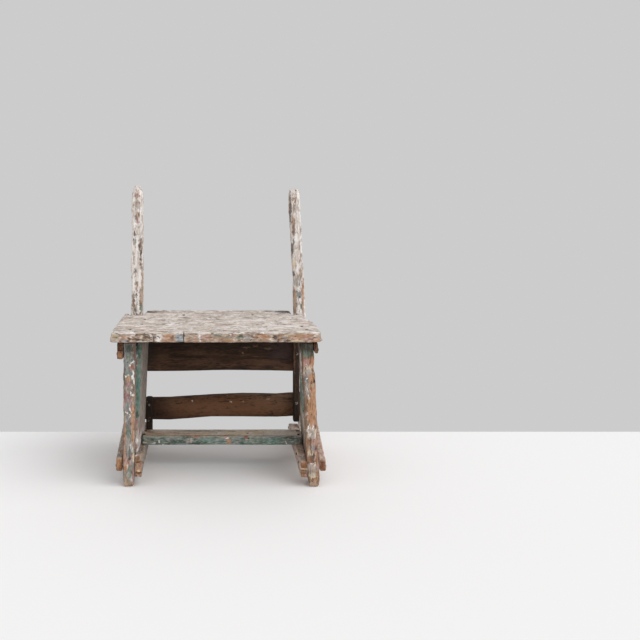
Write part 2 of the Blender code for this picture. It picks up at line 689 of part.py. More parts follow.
def driven_to(base, direction):
    """The matrix that puts a nail drawn along +Z at a point on a surface, driven along a direction."""
    return Matrix.Translation(base) @ direction.to_track_quat("Z", "Y").to_matrix().to_4x4()


def nail_mesh(name, length):
    """One nail: a low head over the surface, a straight shank and a point."""
    head_top = -CLEARANCE - NAIL_HEAD_HEIGHT
    profile = ((head_top, NAIL_HEAD_RADIUS * HEAD_CROWN_SHARE),
               (head_top + NAIL_HEAD_HEIGHT / 2, NAIL_HEAD_RADIUS), (-CLEARANCE, NAIL_HEAD_RADIUS),
               (-CLEARANCE, NAIL_RADIUS), (length - NAIL_POINT_LENGTH, NAIL_RADIUS),
               (length, NAIL_RADIUS * POINT_TIP_SHARE))
    bm = bmesh.new()
    turned(bm, profile)
    mesh = mesh_from(bm, name)
    mesh.materials.append(finish_material("rusted_iron"))
    return mesh


def nail_hole(length, sunk):
    """The profile of a nail's hole: as wide as the head, too, where the head is sunk in the timber."""
    radius = NAIL_RADIUS + CLEARANCE
    end = (length + CLEARANCE, radius)
    if sunk == 0:
        return (-OVERRUN, radius), end
    mouth = NAIL_HEAD_RADIUS + CLEARANCE
    return (-OVERRUN, mouth), (0, mouth), (0, radius), end


def add_nails(name, nails, length, root, pieces, sunk=0):
    """Like nails, each its own object, and their holes in the pieces they pass through.

    Each nail is a point on the surface, over its head if that is sunk or else under it, and the
    direction it is driven in.
    """
    shared = nail_mesh(name, length)
    holes = bmesh.new()
    for number, (base, direction) in enumerate(nails, start=1):
        place = driven_to(base + direction * sunk, direction)
        nail = bpy.data.objects.new(f"{name}_{number}", shared)
        bpy.context.scene.collection.objects.link(nail)
        nail.parent = root
        nail.matrix_local = place
        hole = bmesh.new()
        turned(hole, nail_hole(length, sunk))
        hole.transform(place)
        spare = bpy.data.meshes.new("spare")
        hole.to_mesh(spare)
        hole.free()
        holes.from_mesh(spare)
        bpy.data.meshes.remove(spare)
    cutter = add_cutter(name + "_holes", holes, root)
    for piece in pieces:
        cut_with(bpy.data.objects[piece], cutter)


def direction_of(side, sign):
    """The direction straight out of a side frame (sign 1) or straight in (sign -1)."""
    out = world_point(side, 1, 0, 0) - world_point(side, 0, 0, 0)
    return out * sign


def lapped_places(shares, bottom, height):
    """Places on a rail where it laps the leg and the post, as distances back and heights."""
    places = []
    for back, depth in ((0, LEG_DEPTH), (POST_FRONT, POST_DEPTH)):
        for depth_share, height_share in shares:
            places.append((back + depth_share * depth, bottom + height_share * height))
    return places


def both_sides(*names):
    """The left and the right node of each name."""
    return [name + "_" + word for name in names for word in SIDES.values()]


def add_rail_nails(root):
    """Nails through the upper rails and both low rails into the legs and the posts."""
    upper = []
    outer = []
    inner = []
    for side in SIDES:
        height = UPPER_RAIL_HEIGHT[side]
        for back, up in lapped_places(OUTER_NAIL_SHARES, FRAME_TOP - height, height):
            face = frame_half(side, back) + CLEARANCE + UPPER_RAIL_THICKNESS[side]
            upper.append((world_point(side, face, back, up), direction_of(side, -1)))
        for back, up in lapped_places(OUTER_NAIL_SHARES, OUTER_RAIL_BOTTOM_HEIGHT, OUTER_RAIL_HEIGHT[side]):
            outer.append((world_point(side, outer_rail_face(side, back), back, up), direction_of(side, -1)))
        height = INNER_RAIL_TOP - INNER_RAIL_BOTTOM_HEIGHT
        places = lapped_places(INNER_NAIL_SHARES, INNER_RAIL_BOTTOM_HEIGHT, height)
        if side == RIGHT:
            foot = blend(RIGHT_PLANK_BOTTOM, INNER_RAIL_TOP, PLANK_FOOT_NAIL_SHARE)
            places += [(blend(PLANK_FRONT, plank_rear(), share), foot) for share in PLANK_NAIL_SHARES]
        for back, up in places:
            inner.append((world_point(side, inner_rail_face(side, back), back, up), direction_of(side, 1)))
    uprights = both_sides("front_leg", "back_post")
    add_nails("upper_rail_nail", upper, RAIL_NAIL_LENGTH, root, uprights + both_sides("upper_rail"))
    add_nails("outer_rail_nail", outer, RAIL_NAIL_LENGTH, root, uprights + both_sides("outer_rail"))
    add_nails("inner_rail_nail", inner, RAIL_NAIL_LENGTH, root,
              uprights + both_sides("inner_rail") + ["side_plank_right"])


def add_seat_nails(root):
    """Nails through the seat into the legs, the side planks and the apron, set just under its face."""
    down = Vector((0, 0, -1))
    nails = []
    for side in SIDES:
        nails.append((world_point(side, 0, LEG_DEPTH / 2, SEAT_TOP_HEIGHT), down))
    for side, shares in PLANK_TOP_NAIL_SHARES.items():
        for share in shares:
            back = blend(PLANK_FRONT, plank_rear(), share)
            middle = plank_inner_face(side, back, FRAME_TOP) + PLANK_THICKNESS / 2
            base = world_point(side, middle, back, FRAME_TOP)
            base.z = SEAT_TOP_HEIGHT
            nails.append((base, down))
    apron_middle = rear_boards_back() - REAR_BOARD_THICKNESS / 2
    for share in APRON_TOP_NAIL_SHARES:
        along = blend(board_end(LEFT, FRAME_TOP), board_end(RIGHT, FRAME_TOP), share)
        nails.append((Vector((along, apron_middle, SEAT_TOP_HEIGHT)), down))
    add_nails("seat_nail", nails, SEAT_NAIL_LENGTH, root,
              ["seat", "rear_apron"] + both_sides("front_leg", "side_plank"),
              sunk=NAIL_HEAD_HEIGHT + 2 * CLEARANCE)


def add_stretcher_nails(root):
    """Nails down through the stretcher into the inner rails."""
    top = INNER_RAIL_TOP + CLEARANCE + STRETCHER_THICKNESS
    nails = []
    for share in STRETCHER_NAIL_SHARES:
        back = STRETCHER_FRONT_OFFSET + share * STRETCHER_DEPTH
        for along in stretcher_nail_places():
            nails.append((Vector((along, back, top)), Vector((0, 0, -1))))
    pieces = ["front_stretcher"] + both_sides("inner_rail")
    add_nails("stretcher_nail", nails, STRETCHER_NAIL_LENGTH, root, pieces)


def add_rear_nails(root):
    """Nails through the apron and the lower board into the posts, and through the batten and cleat."""
    face = rear_boards_back() - REAR_BOARD_THICKNESS
    backwards = Vector((0, 1, 0))
    apron = []
    board = []
    for side in SIDES:
        bottom = BOARD_BOTTOM[side]
        for share in APRON_NAIL_SHARES:
            up = blend(APRON_BOTTOM, FRAME_TOP, share)
            apron.append((Vector((world_point(side, 0, POST_FRONT, up).x, face, up)), backwards))
        for share in BOARD_NAIL_SHARES:
            up = bottom + share * BOARD_HEIGHT
            board.append((Vector((world_point(side, 0, POST_FRONT, up).x, face, up)), backwards))
    posts = both_sides("back_post")
    add_nails("apron_nail", apron, BOARD_NAIL_LENGTH, root, ["rear_apron"] + posts)
    add_nails("rear_board_nail", board, BOARD_NAIL_LENGTH, root, ["rear_board"] + posts)
    face = batten_front()
    battens = []
    middle = batten_left() + BATTEN_WIDTH / 2
    for up in (BOARD_BOTTOM[RIGHT] + BATTEN_BOARD_NAIL_SHARE * BOARD_HEIGHT,
               APRON_BOTTOM + BATTEN_APRON_NAIL_SHARE * APRON_HEIGHT):
        battens.append((Vector((middle, face, up)), backwards))
    for share in CLEAT_NAIL_SHARES:
        middle = cleat_right() - CLEAT_WIDTH / 2
        up = INNER_RAIL_TOP + CLEARANCE + share * CLEAT_LENGTH
        battens.append((Vector((middle, face, up)), backwards))
    add_nails("batten_nail", battens, BATTEN_NAIL_LENGTH, root,
              ["rear_batten_right", "rear_cleat_left", "rear_apron", "rear_board"])


def add_empty(name, parent=None, location=(0, 0, 0), turn=0):
    """An empty that carries pieces."""
    empty = bpy.data.objects.new(name, None)
    bpy.context.scene.collection.objects.link(empty)
    empty.parent = parent
    empty.location = location
    empty.rotation_euler.z = turn
    return empty


def centre_on_floor(root):
    """Moves the whole stool so that the origin is the middle of its footprint, on the floor."""
    bpy.context.view_layer.update()
    corners = []
    for piece in bpy.data.objects:
        if piece.type == "MESH" and not piece.hide_render:
            corners += [piece.matrix_world @ vertex.co for vertex in piece.data.vertices]
    for axis in range(2):
        low = min(corner[axis] for corner in corners)
        high = max(corner[axis] for corner in corners)
        root.location[axis] = -(low + high) / 2
    root.location.z = -min(corner.z for corner in corners)


def main():
    clear_scene()
    root = add_empty("stool")
    frames = {}
    for side, word in SIDES.items():
        frames[side] = add_empty("side_frame_" + word, root, (FRAME_X[side], 0, 0), -side * TOE_OUT[side])
    add_side_frames(frames)
    add_seat(root)
    add_rear_apron(root)
    add_rear_board(root)
    add_front_stretcher(root)
    add_batten_and_cleat(root)
    add_seat_nails(root)
    add_rail_nails(root)
    add_stretcher_nails(root)
    add_rear_nails(root)
    centre_on_floor(root)


main()
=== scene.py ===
"""The looks of a weathered work stool: nailed timber under many coats of old, flaking paint.

Every timber is the frame's own solid with its nail holes healed, remeshed finely and worn: rounded,
wrinkled along its grain, pitted and split. The materials are built up as the surfaces were, bare
timber first and then each coat, crack, stain and splash. Lengths are metres, and names that end in
_mm are millimetres.
"""

import math

import bpy
from bpy.props import FloatProperty, FloatVectorProperty, PointerProperty
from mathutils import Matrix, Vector
from mathutils.geometry import intersect_point_line


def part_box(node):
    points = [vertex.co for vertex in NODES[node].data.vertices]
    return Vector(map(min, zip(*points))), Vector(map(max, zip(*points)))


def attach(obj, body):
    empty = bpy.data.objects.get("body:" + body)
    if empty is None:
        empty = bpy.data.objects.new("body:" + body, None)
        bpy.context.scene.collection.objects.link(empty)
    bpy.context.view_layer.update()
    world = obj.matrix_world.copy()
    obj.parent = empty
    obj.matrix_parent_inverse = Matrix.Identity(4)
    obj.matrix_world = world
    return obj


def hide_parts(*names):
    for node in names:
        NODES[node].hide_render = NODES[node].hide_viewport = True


bl_info = {
    "name": "Weathered Work Stool",
    "version": (1, 0, 0),
    "blender": (4, 5, 0),
    "location": "3D View > Sidebar > Stool",
    "description": "Dresses the frame of a nailed timber stool in worn timber and old paint",
    "category": "Object",
}

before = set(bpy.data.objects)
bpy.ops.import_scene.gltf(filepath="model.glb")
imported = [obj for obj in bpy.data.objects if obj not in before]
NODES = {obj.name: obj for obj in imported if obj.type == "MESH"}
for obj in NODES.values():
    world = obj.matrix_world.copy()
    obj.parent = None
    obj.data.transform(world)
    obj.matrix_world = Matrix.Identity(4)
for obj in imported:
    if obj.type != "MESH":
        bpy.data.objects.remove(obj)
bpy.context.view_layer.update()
MM = 0.001
BODY = "root"

# Which way the grain of each timber runs, as the stretch of its patterns along x, y and z
ALONG_X = (10, 1, 1)
ALONG_Y = (1, 10, 1)
ALONG_Z = (1, 1, 10)
EVEN = (1, 1, 1)

# How near a nail's axis the faces of its hole lie, how far past the nail they may run as a share of its
# length, how far the nail's ends are looked for, and how near two doubles lie
HOLE_REACH = 4.7 * MM
HOLE_OVERRUN = 0.2
NAIL_END = 0.4 * MM
DOUBLES_REACH = 0.02 * MM

# Where the noise of a relief lies, for each step of its seed
RELIEF_STEP = (0.37, 0.53, 0.71)

# Height of the seat's underside, over which the painted shade under the seat is darkest
UNDER_SEAT_SHADE_TOP_MM = 358


def linear(hex_colour):
    """An sRGB hex colour as linear red, green and blue."""
    values = [int(hex_colour[start:start + 2], 16) / 255 for start in (1, 3, 5)]
    return tuple(value / 12.92 if value <= 0.04045 else ((value + 0.055) / 1.055) ** 2.4
                 for value in values)


def add_node(tree, kind, inputs=None, **settings):
    """Adds a node, sets its settings, and gives each input a value or a link."""
    node = tree.nodes.new(kind)
    for name, value in settings.items():
        setattr(node, name, value)
    for key, value in (inputs or {}).items():
        if isinstance(value, bpy.types.NodeSocket):
            tree.links.new(value, node.inputs[key])
        else:
            node.inputs[key].default_value = value
    return node


# Tones that darken what lies under them
SEAT_DIRT = linear("#6B5C50")
HOLLOW_DIRT = linear("#55483E")
BOARD_DIRT = linear("#4A3B32")
BLACK_SPLIT = linear("#140E0B")
# Painted shade under the seat, multiplied over the tops of the uprights, the rails and the boards
UPRIGHT_UNDER_SEAT_SHADE = linear("#8A8078")
RAIL_UNDER_SEAT_SHADE = linear("#6E5E52")
BOARD_UNDER_SEAT_SHADE = linear("#8A7A6C")

# Iron under its rust, and the rust
IRON = linear("#3A2A22")
IRON_RUST = linear("#6A4634")


class Finish:
    """A surface built up in layers: its colour and height change as each is laid on."""

    ROUGHNESS = 0.85
    SPECULAR = 0.25
    NOISE_ROUGHNESS = 0.6

    # The noise's middle, and how far from it the edges of flakes lie when they cover all or nothing
    MIDDLE = 0.5
    COVER_SPREAD = 0.34

    # How far each pattern and each set of specks lies from the last one in the noise
    PATTERN_STEP = 7.31
    SPECKS_STEP = 3.17

    # Sizes of the fibres in bare timber, the grit on all, the outlines' ripples and how far they are shaken
    FIBRE_MM = 1.6
    GRIT_MM = 1.2
    RIPPLE_MM = 7
    SHAKE_MM = 12

    # Size and strength of the fibres that break up the edge of a patch
    FRAY_MM = 3
    FRAY = 2.2

    # Size of the drift of a coat's two tones, as a share of its flakes, and of the gaps in the splits
    DRIFT_SHARE = 0.6
    GAP_SHARE = 2.5

    # The pointiness under which a surface is hollow, and how softly dirt ends there
    HOLLOW = 0.47
    HOLLOW_SOFTNESS = 0.03

    # Shade and depth of the fibres, and depths of the splits, the specks, the mottling and the grit
    FIBRE_SHADE = 0.72
    FIBRE_DEPTH = -0.5
    SPLIT_DEPTH = -0.5
    SPECK_DEPTH = 0.15
    MOTTLE_DEPTH = 0.2
    GRIT_DEPTH = 0.35

    def __init__(self, name, grain):
        self.material = bpy.data.materials.new(name)
        self.material.use_nodes = True
        self.tree = self.material.node_tree
        self.tree.nodes.clear()
        self.grain = grain
        self.place = add_node(self.tree, "ShaderNodeTexCoord").outputs["Object"]
        self.surface = add_node(self.tree, "ShaderNodeNewGeometry")
        self.warped = None
        self.edges = None
        self.colour = None
        self.height = None
        self.seed = 0

    def pattern(self, size_mm, stretch=EVEN, detail=3, output="Fac"):
        """Noise with lumps of a real size, each call with its own place in the noise."""
        self.seed += self.PATTERN_STEP
        scale = [1 / (size_mm * MM * by) for by in stretch]
        mapped = add_node(self.tree, "ShaderNodeMapping",
                          {"Vector": self.place, "Location": (self.seed, -self.seed, 2 * self.seed),
                           "Scale": scale})
        noise = add_node(self.tree, "ShaderNodeTexNoise",
                         {"Vector": mapped.outputs[0], "Scale": 1, "Detail": detail,
                          "Roughness": self.NOISE_ROUGHNESS})
        return noise.outputs[output]

    def step(self, value, edge, soft):
        """0 under an edge and 1 over it, with a soft step between. A negative softness turns it round."""
        return add_node(self.tree, "ShaderNodeMapRange",
                        {"Value": value, "From Min": edge - soft, "From Max": edge + soft},
                        interpolation_type="SMOOTHSTEP").outputs[0]

    def sum(self, operation, one, two=0):
        """A number worked out from others, such as MULTIPLY or ADD."""
        return add_node(self.tree, "ShaderNodeMath", {0: one, 1: two}, operation=operation).outputs[0]

    def vector(self, operation, inputs, output=0):
        """A vector worked out from others, such as ADD or SCALE, or its length as the output Value."""
        return add_node(self.tree, "ShaderNodeVectorMath", inputs, operation=operation).outputs[output]

    def tint(self, factor, under, over, way="MIX"):
        """One colour over another, by a factor."""
        return add_node(self.tree, "ShaderNodeMix", {0: factor, 6: under, 7: over}, data_type="RGBA",
                        blend_type=way).outputs[2]

    def rgba(self, colour):
        """A colour as a node takes it: a link stays a link, and a plain colour gets its fourth value."""
        return colour if isinstance(colour, bpy.types.NodeSocket) else (*colour, 1)

    def lay(self, mask, colour, thickness=0.0, way="MIX", strength=None):
        """Lays a colour over what is there, where the mask is, and raises the surface by its thickness."""
        if strength is not None:
            mask = self.sum("MULTIPLY", mask, strength)
        self.colour = self.tint(mask, self.colour, self.rgba(colour), way)
        if thickness:
            self.height = self.sum("ADD", self.height, self.sum("MULTIPLY", mask, thickness))

    def timber(self, dark, light, ring_mm):
        """Bare timber: bands along the grain, with finer fibres in them."""
        bands = self.pattern(ring_mm, self.grain, 2)
        fibres = self.pattern(self.FIBRE_MM, self.grain, 2)
        body = self.tint(self.step(bands, self.MIDDLE, 0.16), self.rgba(dark), self.rgba(light))
        shade = self.rgba([value * self.FIBRE_SHADE for value in dark])
        self.colour = self.tint(self.step(fibres, 0.52, 0.18), body, shade)
        self.height = self.sum("MULTIPLY", fibres, self.FIBRE_DEPTH)

    def two_tone(self, one, two, size_mm, stretch=EVEN):
        """A body colour that drifts between two tones."""
        drift = self.pattern(size_mm, stretch, 4)
        return self.tint(self.step(drift, self.MIDDLE, 0.13), self.rgba(one), self.rgba(two))

    def coat(self, one, two, cover, size_mm, stretch=EVEN, soft=0.025, thickness=0.35, where=None):
        """A coat of old paint that still covers a share of the surface, in flakes of a real size."""
        flakes = self.pattern(size_mm, stretch, 4)
        mask = self.step(flakes, self.MIDDLE + self.COVER_SPREAD * (0.5 - cover), soft)
        if where is not None:
            mask = self.sum("MULTIPLY", mask, where)
        self.lay(mask, self.two_tone(one, two, size_mm * self.DRIFT_SHARE, stretch), thickness)

    def cracks(self, colour, spacing_mm, width, strength, stretch=None):
        """Long dark splits where the timber has opened along its grain."""
        field = self.pattern(spacing_mm, stretch or self.grain, 2)
        distance = self.sum("ABSOLUTE", self.sum("SUBTRACT", field, self.MIDDLE))
        line = self.step(distance, width, -width)
        broken = self.step(self.pattern(spacing_mm * self.GAP_SHARE, EVEN, 1), self.MIDDLE, 0.06)
        self.lay(self.sum("MULTIPLY", line, broken), colour, self.SPLIT_DEPTH, strength=strength)

    def specks(self, colour, spacing_mm, radius, share, strength):
        """Small splashes of another paint, one in some of the cells of a loose grid."""
        self.seed += self.SPECKS_STEP
        scale = 1 / (spacing_mm * MM)
        mapped = add_node(self.tree, "ShaderNodeMapping",
                          {"Vector": self.warp(), "Location": (self.seed, self.seed, -self.seed),
                           "Scale": (scale, scale, scale)})
        cells = add_node(self.tree, "ShaderNodeTexVoronoi", {"Vector": mapped.outputs[0], "Scale": 1})
        chosen = add_node(self.tree, "ShaderNodeSeparateColor", {0: cells.outputs["Color"]})
        size = self.sum("MULTIPLY", self.step(chosen.outputs[0], 1 - share, 0.02), radius)
        grown = self.sum("MULTIPLY", size, self.sum("ADD", chosen.outputs[1], 0.4))
        dot = self.step(self.sum("SUBTRACT", grown, cells.outputs["Distance"]), 0.02, 0.03)
        self.lay(dot, colour, self.SPECK_DEPTH, strength=strength)

    def warp(self):
        """The place with its edges shaken a little, so that no mark has a smooth outline."""
        if self.warped is None:
            shake = self.pattern(self.RIPPLE_MM, output="Color")
            moved = self.vector("SUBTRACT", {0: shake, 1: (self.MIDDLE,) * 3})
            scaled = self.vector("SCALE", {0: moved, "Scale": self.SHAKE_MM * MM})
            self.warped = self.vector("ADD", {0: self.place, 1: scaled})
        return self.warped

    def ragged(self):
        """A small share to add to a distance, so that the edge of a patch breaks up along the grain."""
        if self.edges is None:
            fibres = self.pattern(self.FRAY_MM, [min(by, 4) for by in self.grain])
            self.edges = self.sum("MULTIPLY", self.sum("SUBTRACT", fibres, self.MIDDLE), self.FRAY)
        return self.edges

    def mark(self, spots, colour, strength, soft):
        """Patches, splashes and drips of one colour, each a centre and its half sizes in millimetres."""
        nearest = None
        for centre, size_mm in spots:
            shrink = [1 / (size * MM) for size in size_mm]
            shift = [-value * by for value, by in zip(centre, shrink)]
            mapped = self.vector("MULTIPLY_ADD", {0: self.warp(), 1: shrink, 2: shift})
            distance = self.vector("LENGTH", {0: mapped}, "Value")
            nearest = distance if nearest is None else self.sum("MINIMUM", nearest, distance)
        inside = self.step(self.sum("ADD", nearest, self.ragged()), 1.0, -soft)
        self.lay(inside, colour, strength=strength)

    def patches(self, paint, table, spot, strength=0.85, soft=0.3):
        """Lays a table of patches, colour by colour. The function spot gives a row its place and sizes."""
        for colour, rows in table.items():
            self.mark([spot(*row) for row in rows], getattr(paint, colour), strength, soft)

    def mottle(self, dark, light, size_mm, strength):
        """Fine dirt and rubbed spots all over, in turn."""
        field = self.pattern(size_mm, [min(by, 2.5) for by in self.grain], 4)
        self.lay(self.step(field, 0.45, -0.09), dark, -self.MOTTLE_DEPTH, "MULTIPLY", strength)
        self.lay(self.step(field, 0.57, 0.07), light, self.MOTTLE_DEPTH, strength=strength)

    def under_seat_shade(self, colour, strength, low_mm=300):
        """Painted shade under the seat: darkens a piece more and more from a low height up to the seat's
        underside.
        """
        parts = add_node(self.tree, "ShaderNodeSeparateXYZ", {0: self.place})
        half = (UNDER_SEAT_SHADE_TOP_MM - low_mm) / 2 * MM
        mask = self.step(parts.outputs[2], low_mm * MM + half, half)
        self.lay(mask, colour, way="MULTIPLY", strength=strength)

    def facing(self, axis, edge, soft, sign=1):
        """1 where the surface faces along an axis."""
        parts = add_node(self.tree, "ShaderNodeSeparateXYZ", {0: self.surface.outputs["True Normal"]})
        return self.step(self.sum("MULTIPLY", parts.outputs[axis], sign), edge, soft)

    def grime(self, colour, strength):
        """Dirt in the hollows."""
        hollow = self.step(self.surface.outputs["Pointiness"], self.HOLLOW, -self.HOLLOW_SOFTNESS)
        self.lay(hollow, colour, way="MULTIPLY", strength=strength)

    def done(self, bump, metallic=0.0):
        """Joins the layers to the shader."""
        grit = self.pattern(self.GRIT_MM, detail=2)
        height = self.sum("ADD", self.height, self.sum("MULTIPLY", grit, self.GRIT_DEPTH))
        bumped = add_node(self.tree, "ShaderNodeBump", {"Height": height, "Strength": bump, "Distance": MM})
        shader = add_node(self.tree, "ShaderNodeBsdfPrincipled",
                          {"Base Color": self.colour, "Normal": bumped.outputs[0],
                           "Roughness": self.ROUGHNESS, "Specular IOR Level": self.SPECULAR,
                           "Metallic": metallic})
        add_node(self.tree, "ShaderNodeOutputMaterial", {0: shader.outputs[0]})
        return self.material


def corner_place(node, x_mm, y_mm, z_mm):
    """A place in millimetres from the lowest corner of a node's box."""
    low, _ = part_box(node)
    return (low[0] + x_mm * MM, low[1] + y_mm * MM, low[2] + z_mm * MM)


def placed(node, rows):
    """Rows of a place and a size, each place turned from one on a node into one on the stool."""
    return [(corner_place(node, *place), size) for place, size in rows]


def on_front(node, deep_mm=1, reach_mm=12):
    """A function that places a patch on a node's front, by x, z and half sizes from its lowest corner."""
    return lambda x_mm, z_mm, wide_mm, tall_mm: (corner_place(node, x_mm, deep_mm, z_mm),
                                                 (wide_mm, reach_mm, tall_mm))


def on_top(node, high_mm, reach_mm=7):
    """A function that places a patch on a node's top, by x, y and half sizes from its lowest corner."""
    return lambda x_mm, y_mm, long_mm, wide_mm: (corner_place(node, x_mm, y_mm, high_mm),
                                                 (long_mm, wide_mm, reach_mm))


def pair(kind):
    """The left and the right node of a kind."""
    return [kind + "_left", kind + "_right"]


def side_of(node):
    """The side, left or right, that a node's name ends in."""
    return node.rsplit("_", 1)[1]


def select_only(piece):
    """Leaves one object selected and active."""
    bpy.ops.object.select_all(action="DESELECT")
    piece.select_set(True)
    bpy.context.view_layer.objects.active = piece


def nail_line(node):
    """The two ends of a nail's axis."""
    low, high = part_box(node)
    axis = max(range(3), key=lambda index: high[index] - low[index])
    points = [vertex.co for vertex in NODES[node].data.vertices]
    ends = []
    for edge in (low[axis], high[axis]):
        near = [point for point in points if abs(point[axis] - edge) < NAIL_END]
        ends.append(sum(near, Vector()) / len(near))
    return ends


def copy_of_node(node, name):
    """A copy of a node's mesh with its doubles merged, as a piece of its own."""
    piece = bpy.data.objects.new(name, NODES[node].data.copy())
    bpy.context.scene.collection.objects.link(piece)
    select_only(piece)
    bpy.ops.object.mode_set(mode="EDIT")
    bpy.ops.mesh.select_all(action="SELECT")
    bpy.ops.mesh.remove_doubles(threshold=DOUBLES_REACH)
    bpy.ops.mesh.select_all(action="DESELECT")
    bpy.ops.object.mode_set(mode="OBJECT")
    return piece


def heal_nail_holes(piece):
    """Deletes the walls of the nail holes and closes their mouths."""
    mesh = piece.data
    for start, end in [nail_line(node) for node in NODES if "_nail_" in node]:
        near = set()
        for vertex in mesh.vertices:
            on_line, share = intersect_point_line(vertex.co, start, end)
            if -HOLE_OVERRUN < share < 1 + HOLE_OVERRUN and (vertex.co - on_line).length < HOLE_REACH:
                near.add(vertex.index)
        for polygon in mesh.polygons:
            if all(index in near for index in polygon.vertices):
                polygon.select = True
    select_only(piece)
    bpy.context.tool_settings.mesh_select_mode = (False, False, True)
    bpy.ops.object.mode_set(mode="EDIT")
    bpy.ops.mesh.delete(type="FACE")
    bpy.ops.mesh.select_all(action="SELECT")
    bpy.ops.mesh.fill_holes(sides=0)
    bpy.ops.mesh.normals_make_consistent(inside=False)
    bpy.ops.object.mode_set(mode="OBJECT")


def apply_modifiers(piece):
    """Applies what is on a piece, in order."""
    select_only(piece)
    for modifier in list(piece.modifiers):
        bpy.ops.object.modifier_apply(modifier=modifier.name)


def remesh(piece, grid, smoothing):
    """Gives a piece an even fine mesh and rounds its edges."""
    fine = piece.modifiers.new("fine_mesh", "REMESH")
    fine.mode = "VOXEL"
    fine.voxel_size = grid
    fine.use_smooth_shade = True
    rounded = piece.modifiers.new("rounded_edges", "SMOOTH")
    rounded.factor = 0.5
    rounded.iterations = smoothing
    apply_modifiers(piece)


def press(piece, size_mm, depth_mm, stretch=EVEN, seed=0, contrast=1.0, level=0.55):
    """Presses a pattern of lumps of a real size and depth into the surface, and a little out of it."""
    guide = bpy.data.objects.new("relief_guide", None)
    bpy.context.scene.collection.objects.link(guide)
    guide.scale = [size_mm * MM * by for by in stretch]
    guide.location = [seed * by for by in RELIEF_STEP]
    bpy.context.view_layer.update()
    texture = bpy.data.textures.new("relief", "CLOUDS")
    texture.noise_scale = 1.0
    texture.contrast = contrast
    texture.noise_depth = 3
    relief = piece.modifiers.new("relief", "DISPLACE")
    relief.texture = texture
    relief.texture_coords = "OBJECT"
    relief.texture_coords_object = guide
    relief.strength = depth_mm * MM
    relief.mid_level = level
    apply_modifiers(piece)
    bpy.data.objects.remove(guide)
    bpy.data.textures.remove(texture)


def add_tool(centre, size_mm, round_form=True):
    """A rounded stone or a thin block at its place, to be joined to a piece or cut out of it."""
    if round_form:
        bpy.ops.mesh.primitive_ico_sphere_add(subdivisions=3, radius=1, location=centre)
    else:
        bpy.ops.mesh.primitive_cube_add(size=2, location=centre)
    tool = bpy.context.object
    tool.scale = [size * MM for size in size_mm]
    bpy.ops.object.transform_apply(location=True, rotation=True, scale=True)
    return tool


def add_lumps(piece, lumps):
    """Joins rounded lumps to a piece, before its remesh makes them one with it."""
    for centre, size_mm in lumps:
        tool = add_tool(centre, size_mm)
        select_only(piece)
        tool.select_set(True)
        bpy.ops.object.join()


def cut(piece, centre, size_mm, round_form=False):
    """Cuts a thin slot or a rounded bite out of a piece."""
    tool = add_tool(centre, size_mm, round_form)
    slot = piece.modifiers.new("cut", "BOOLEAN")
    slot.object = tool
    slot.solver = "MANIFOLD"
    slot.operation = "DIFFERENCE"
    apply_modifiers(piece)
    bpy.data.objects.remove(tool)


def worn_timber(node, grid, smoothing, lumps=(), bites=()):
    """A node's copy, healed, with lumps added and bites taken, ready for its relief."""
    piece = copy_of_node(node, "worn_" + node)
    heal_nail_holes(piece)
    for centre, size_mm in bites:
        cut(piece, centre, size_mm, round_form=True)
    add_lumps(piece, lumps)
    remesh(piece, grid, smoothing)
    return piece


def keep_size(piece, node):
    """Stretches a worn piece by a hair, so that wear leaves it as long, deep and high as its node."""
    low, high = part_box(node)
    for axis in range(3):
        places = [vertex.co[axis] for vertex in piece.data.vertices]
        least, most = min(places), max(places)
        stretch = (high[axis] - low[axis]) / (most - least)
        for vertex, place in zip(piece.data.vertices, places):
            vertex.co[axis] = low[axis] + (place - least) * stretch


def hand_over(piece, node, material):
    """Gives a piece its material, and puts it in the place of its node on the stool."""
    keep_size(piece, node)
    piece.data.materials.clear()
    piece.data.materials.append(material)
    select_only(piece)
    bpy.ops.object.shade_smooth()
    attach(piece, BODY)
    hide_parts(node)


def mesh_cells(name, pieces, size_mm):
    """A mesh size that a user can change in the panel."""
    return FloatProperty(name=name, description="Size of the mesh cells of " + pieces,
                         default=size_mm * MM, unit="LENGTH")


def make_timbers(context, nodes, grid, reliefs, seed, finish, smoothing=3):
    """Makes worn timbers. Each relief is a size, a depth, a stretch and, if not 1, a contrast for press."""
    for index, node in enumerate(nodes):
        piece = worn_timber(node, grid, smoothing)
        for turn, (size_mm, depth_mm, stretch, *contrast) in enumerate(reliefs):
            press(piece, size_mm, depth_mm, stretch, seed + len(nodes) * turn + index, *contrast)
        for place, size in placed(node, RAIL_SPLITS_MM.get(node, ())):
            cut(piece, place, size, round_form=True)
        hand_over(piece, node, finish(context.scene.stool_paint, node))


class TimberSizes(bpy.types.PropertyGroup):
    """How finely each kind of timber is meshed, and how deep its wear is."""

    seat_grid: mesh_cells("Seat mesh", "the seat", 2.3)
    upright_grid: mesh_cells("Upright mesh", "legs and posts", 1.5)
    board_grid: mesh_cells("Board mesh", "boards and planks", 1.8)
    rail_grid: mesh_cells("Rail mesh", "rails and battens", 1.4)
    crust_depth: FloatProperty(name="Crust depth", default=2.2,
                               description="Depth of the wrinkles in the seat's crust, in mm")
    grain_depth: FloatProperty(name="Grain depth", default=0.9,
                               description="Depth of the open grain of bare timber, in mm")


def paint_colour(name, description, hex_colour):
    """A colour that a user can change in the panel."""
    return FloatVectorProperty(name=name, description=description, subtype="COLOR",
                               default=linear(hex_colour))


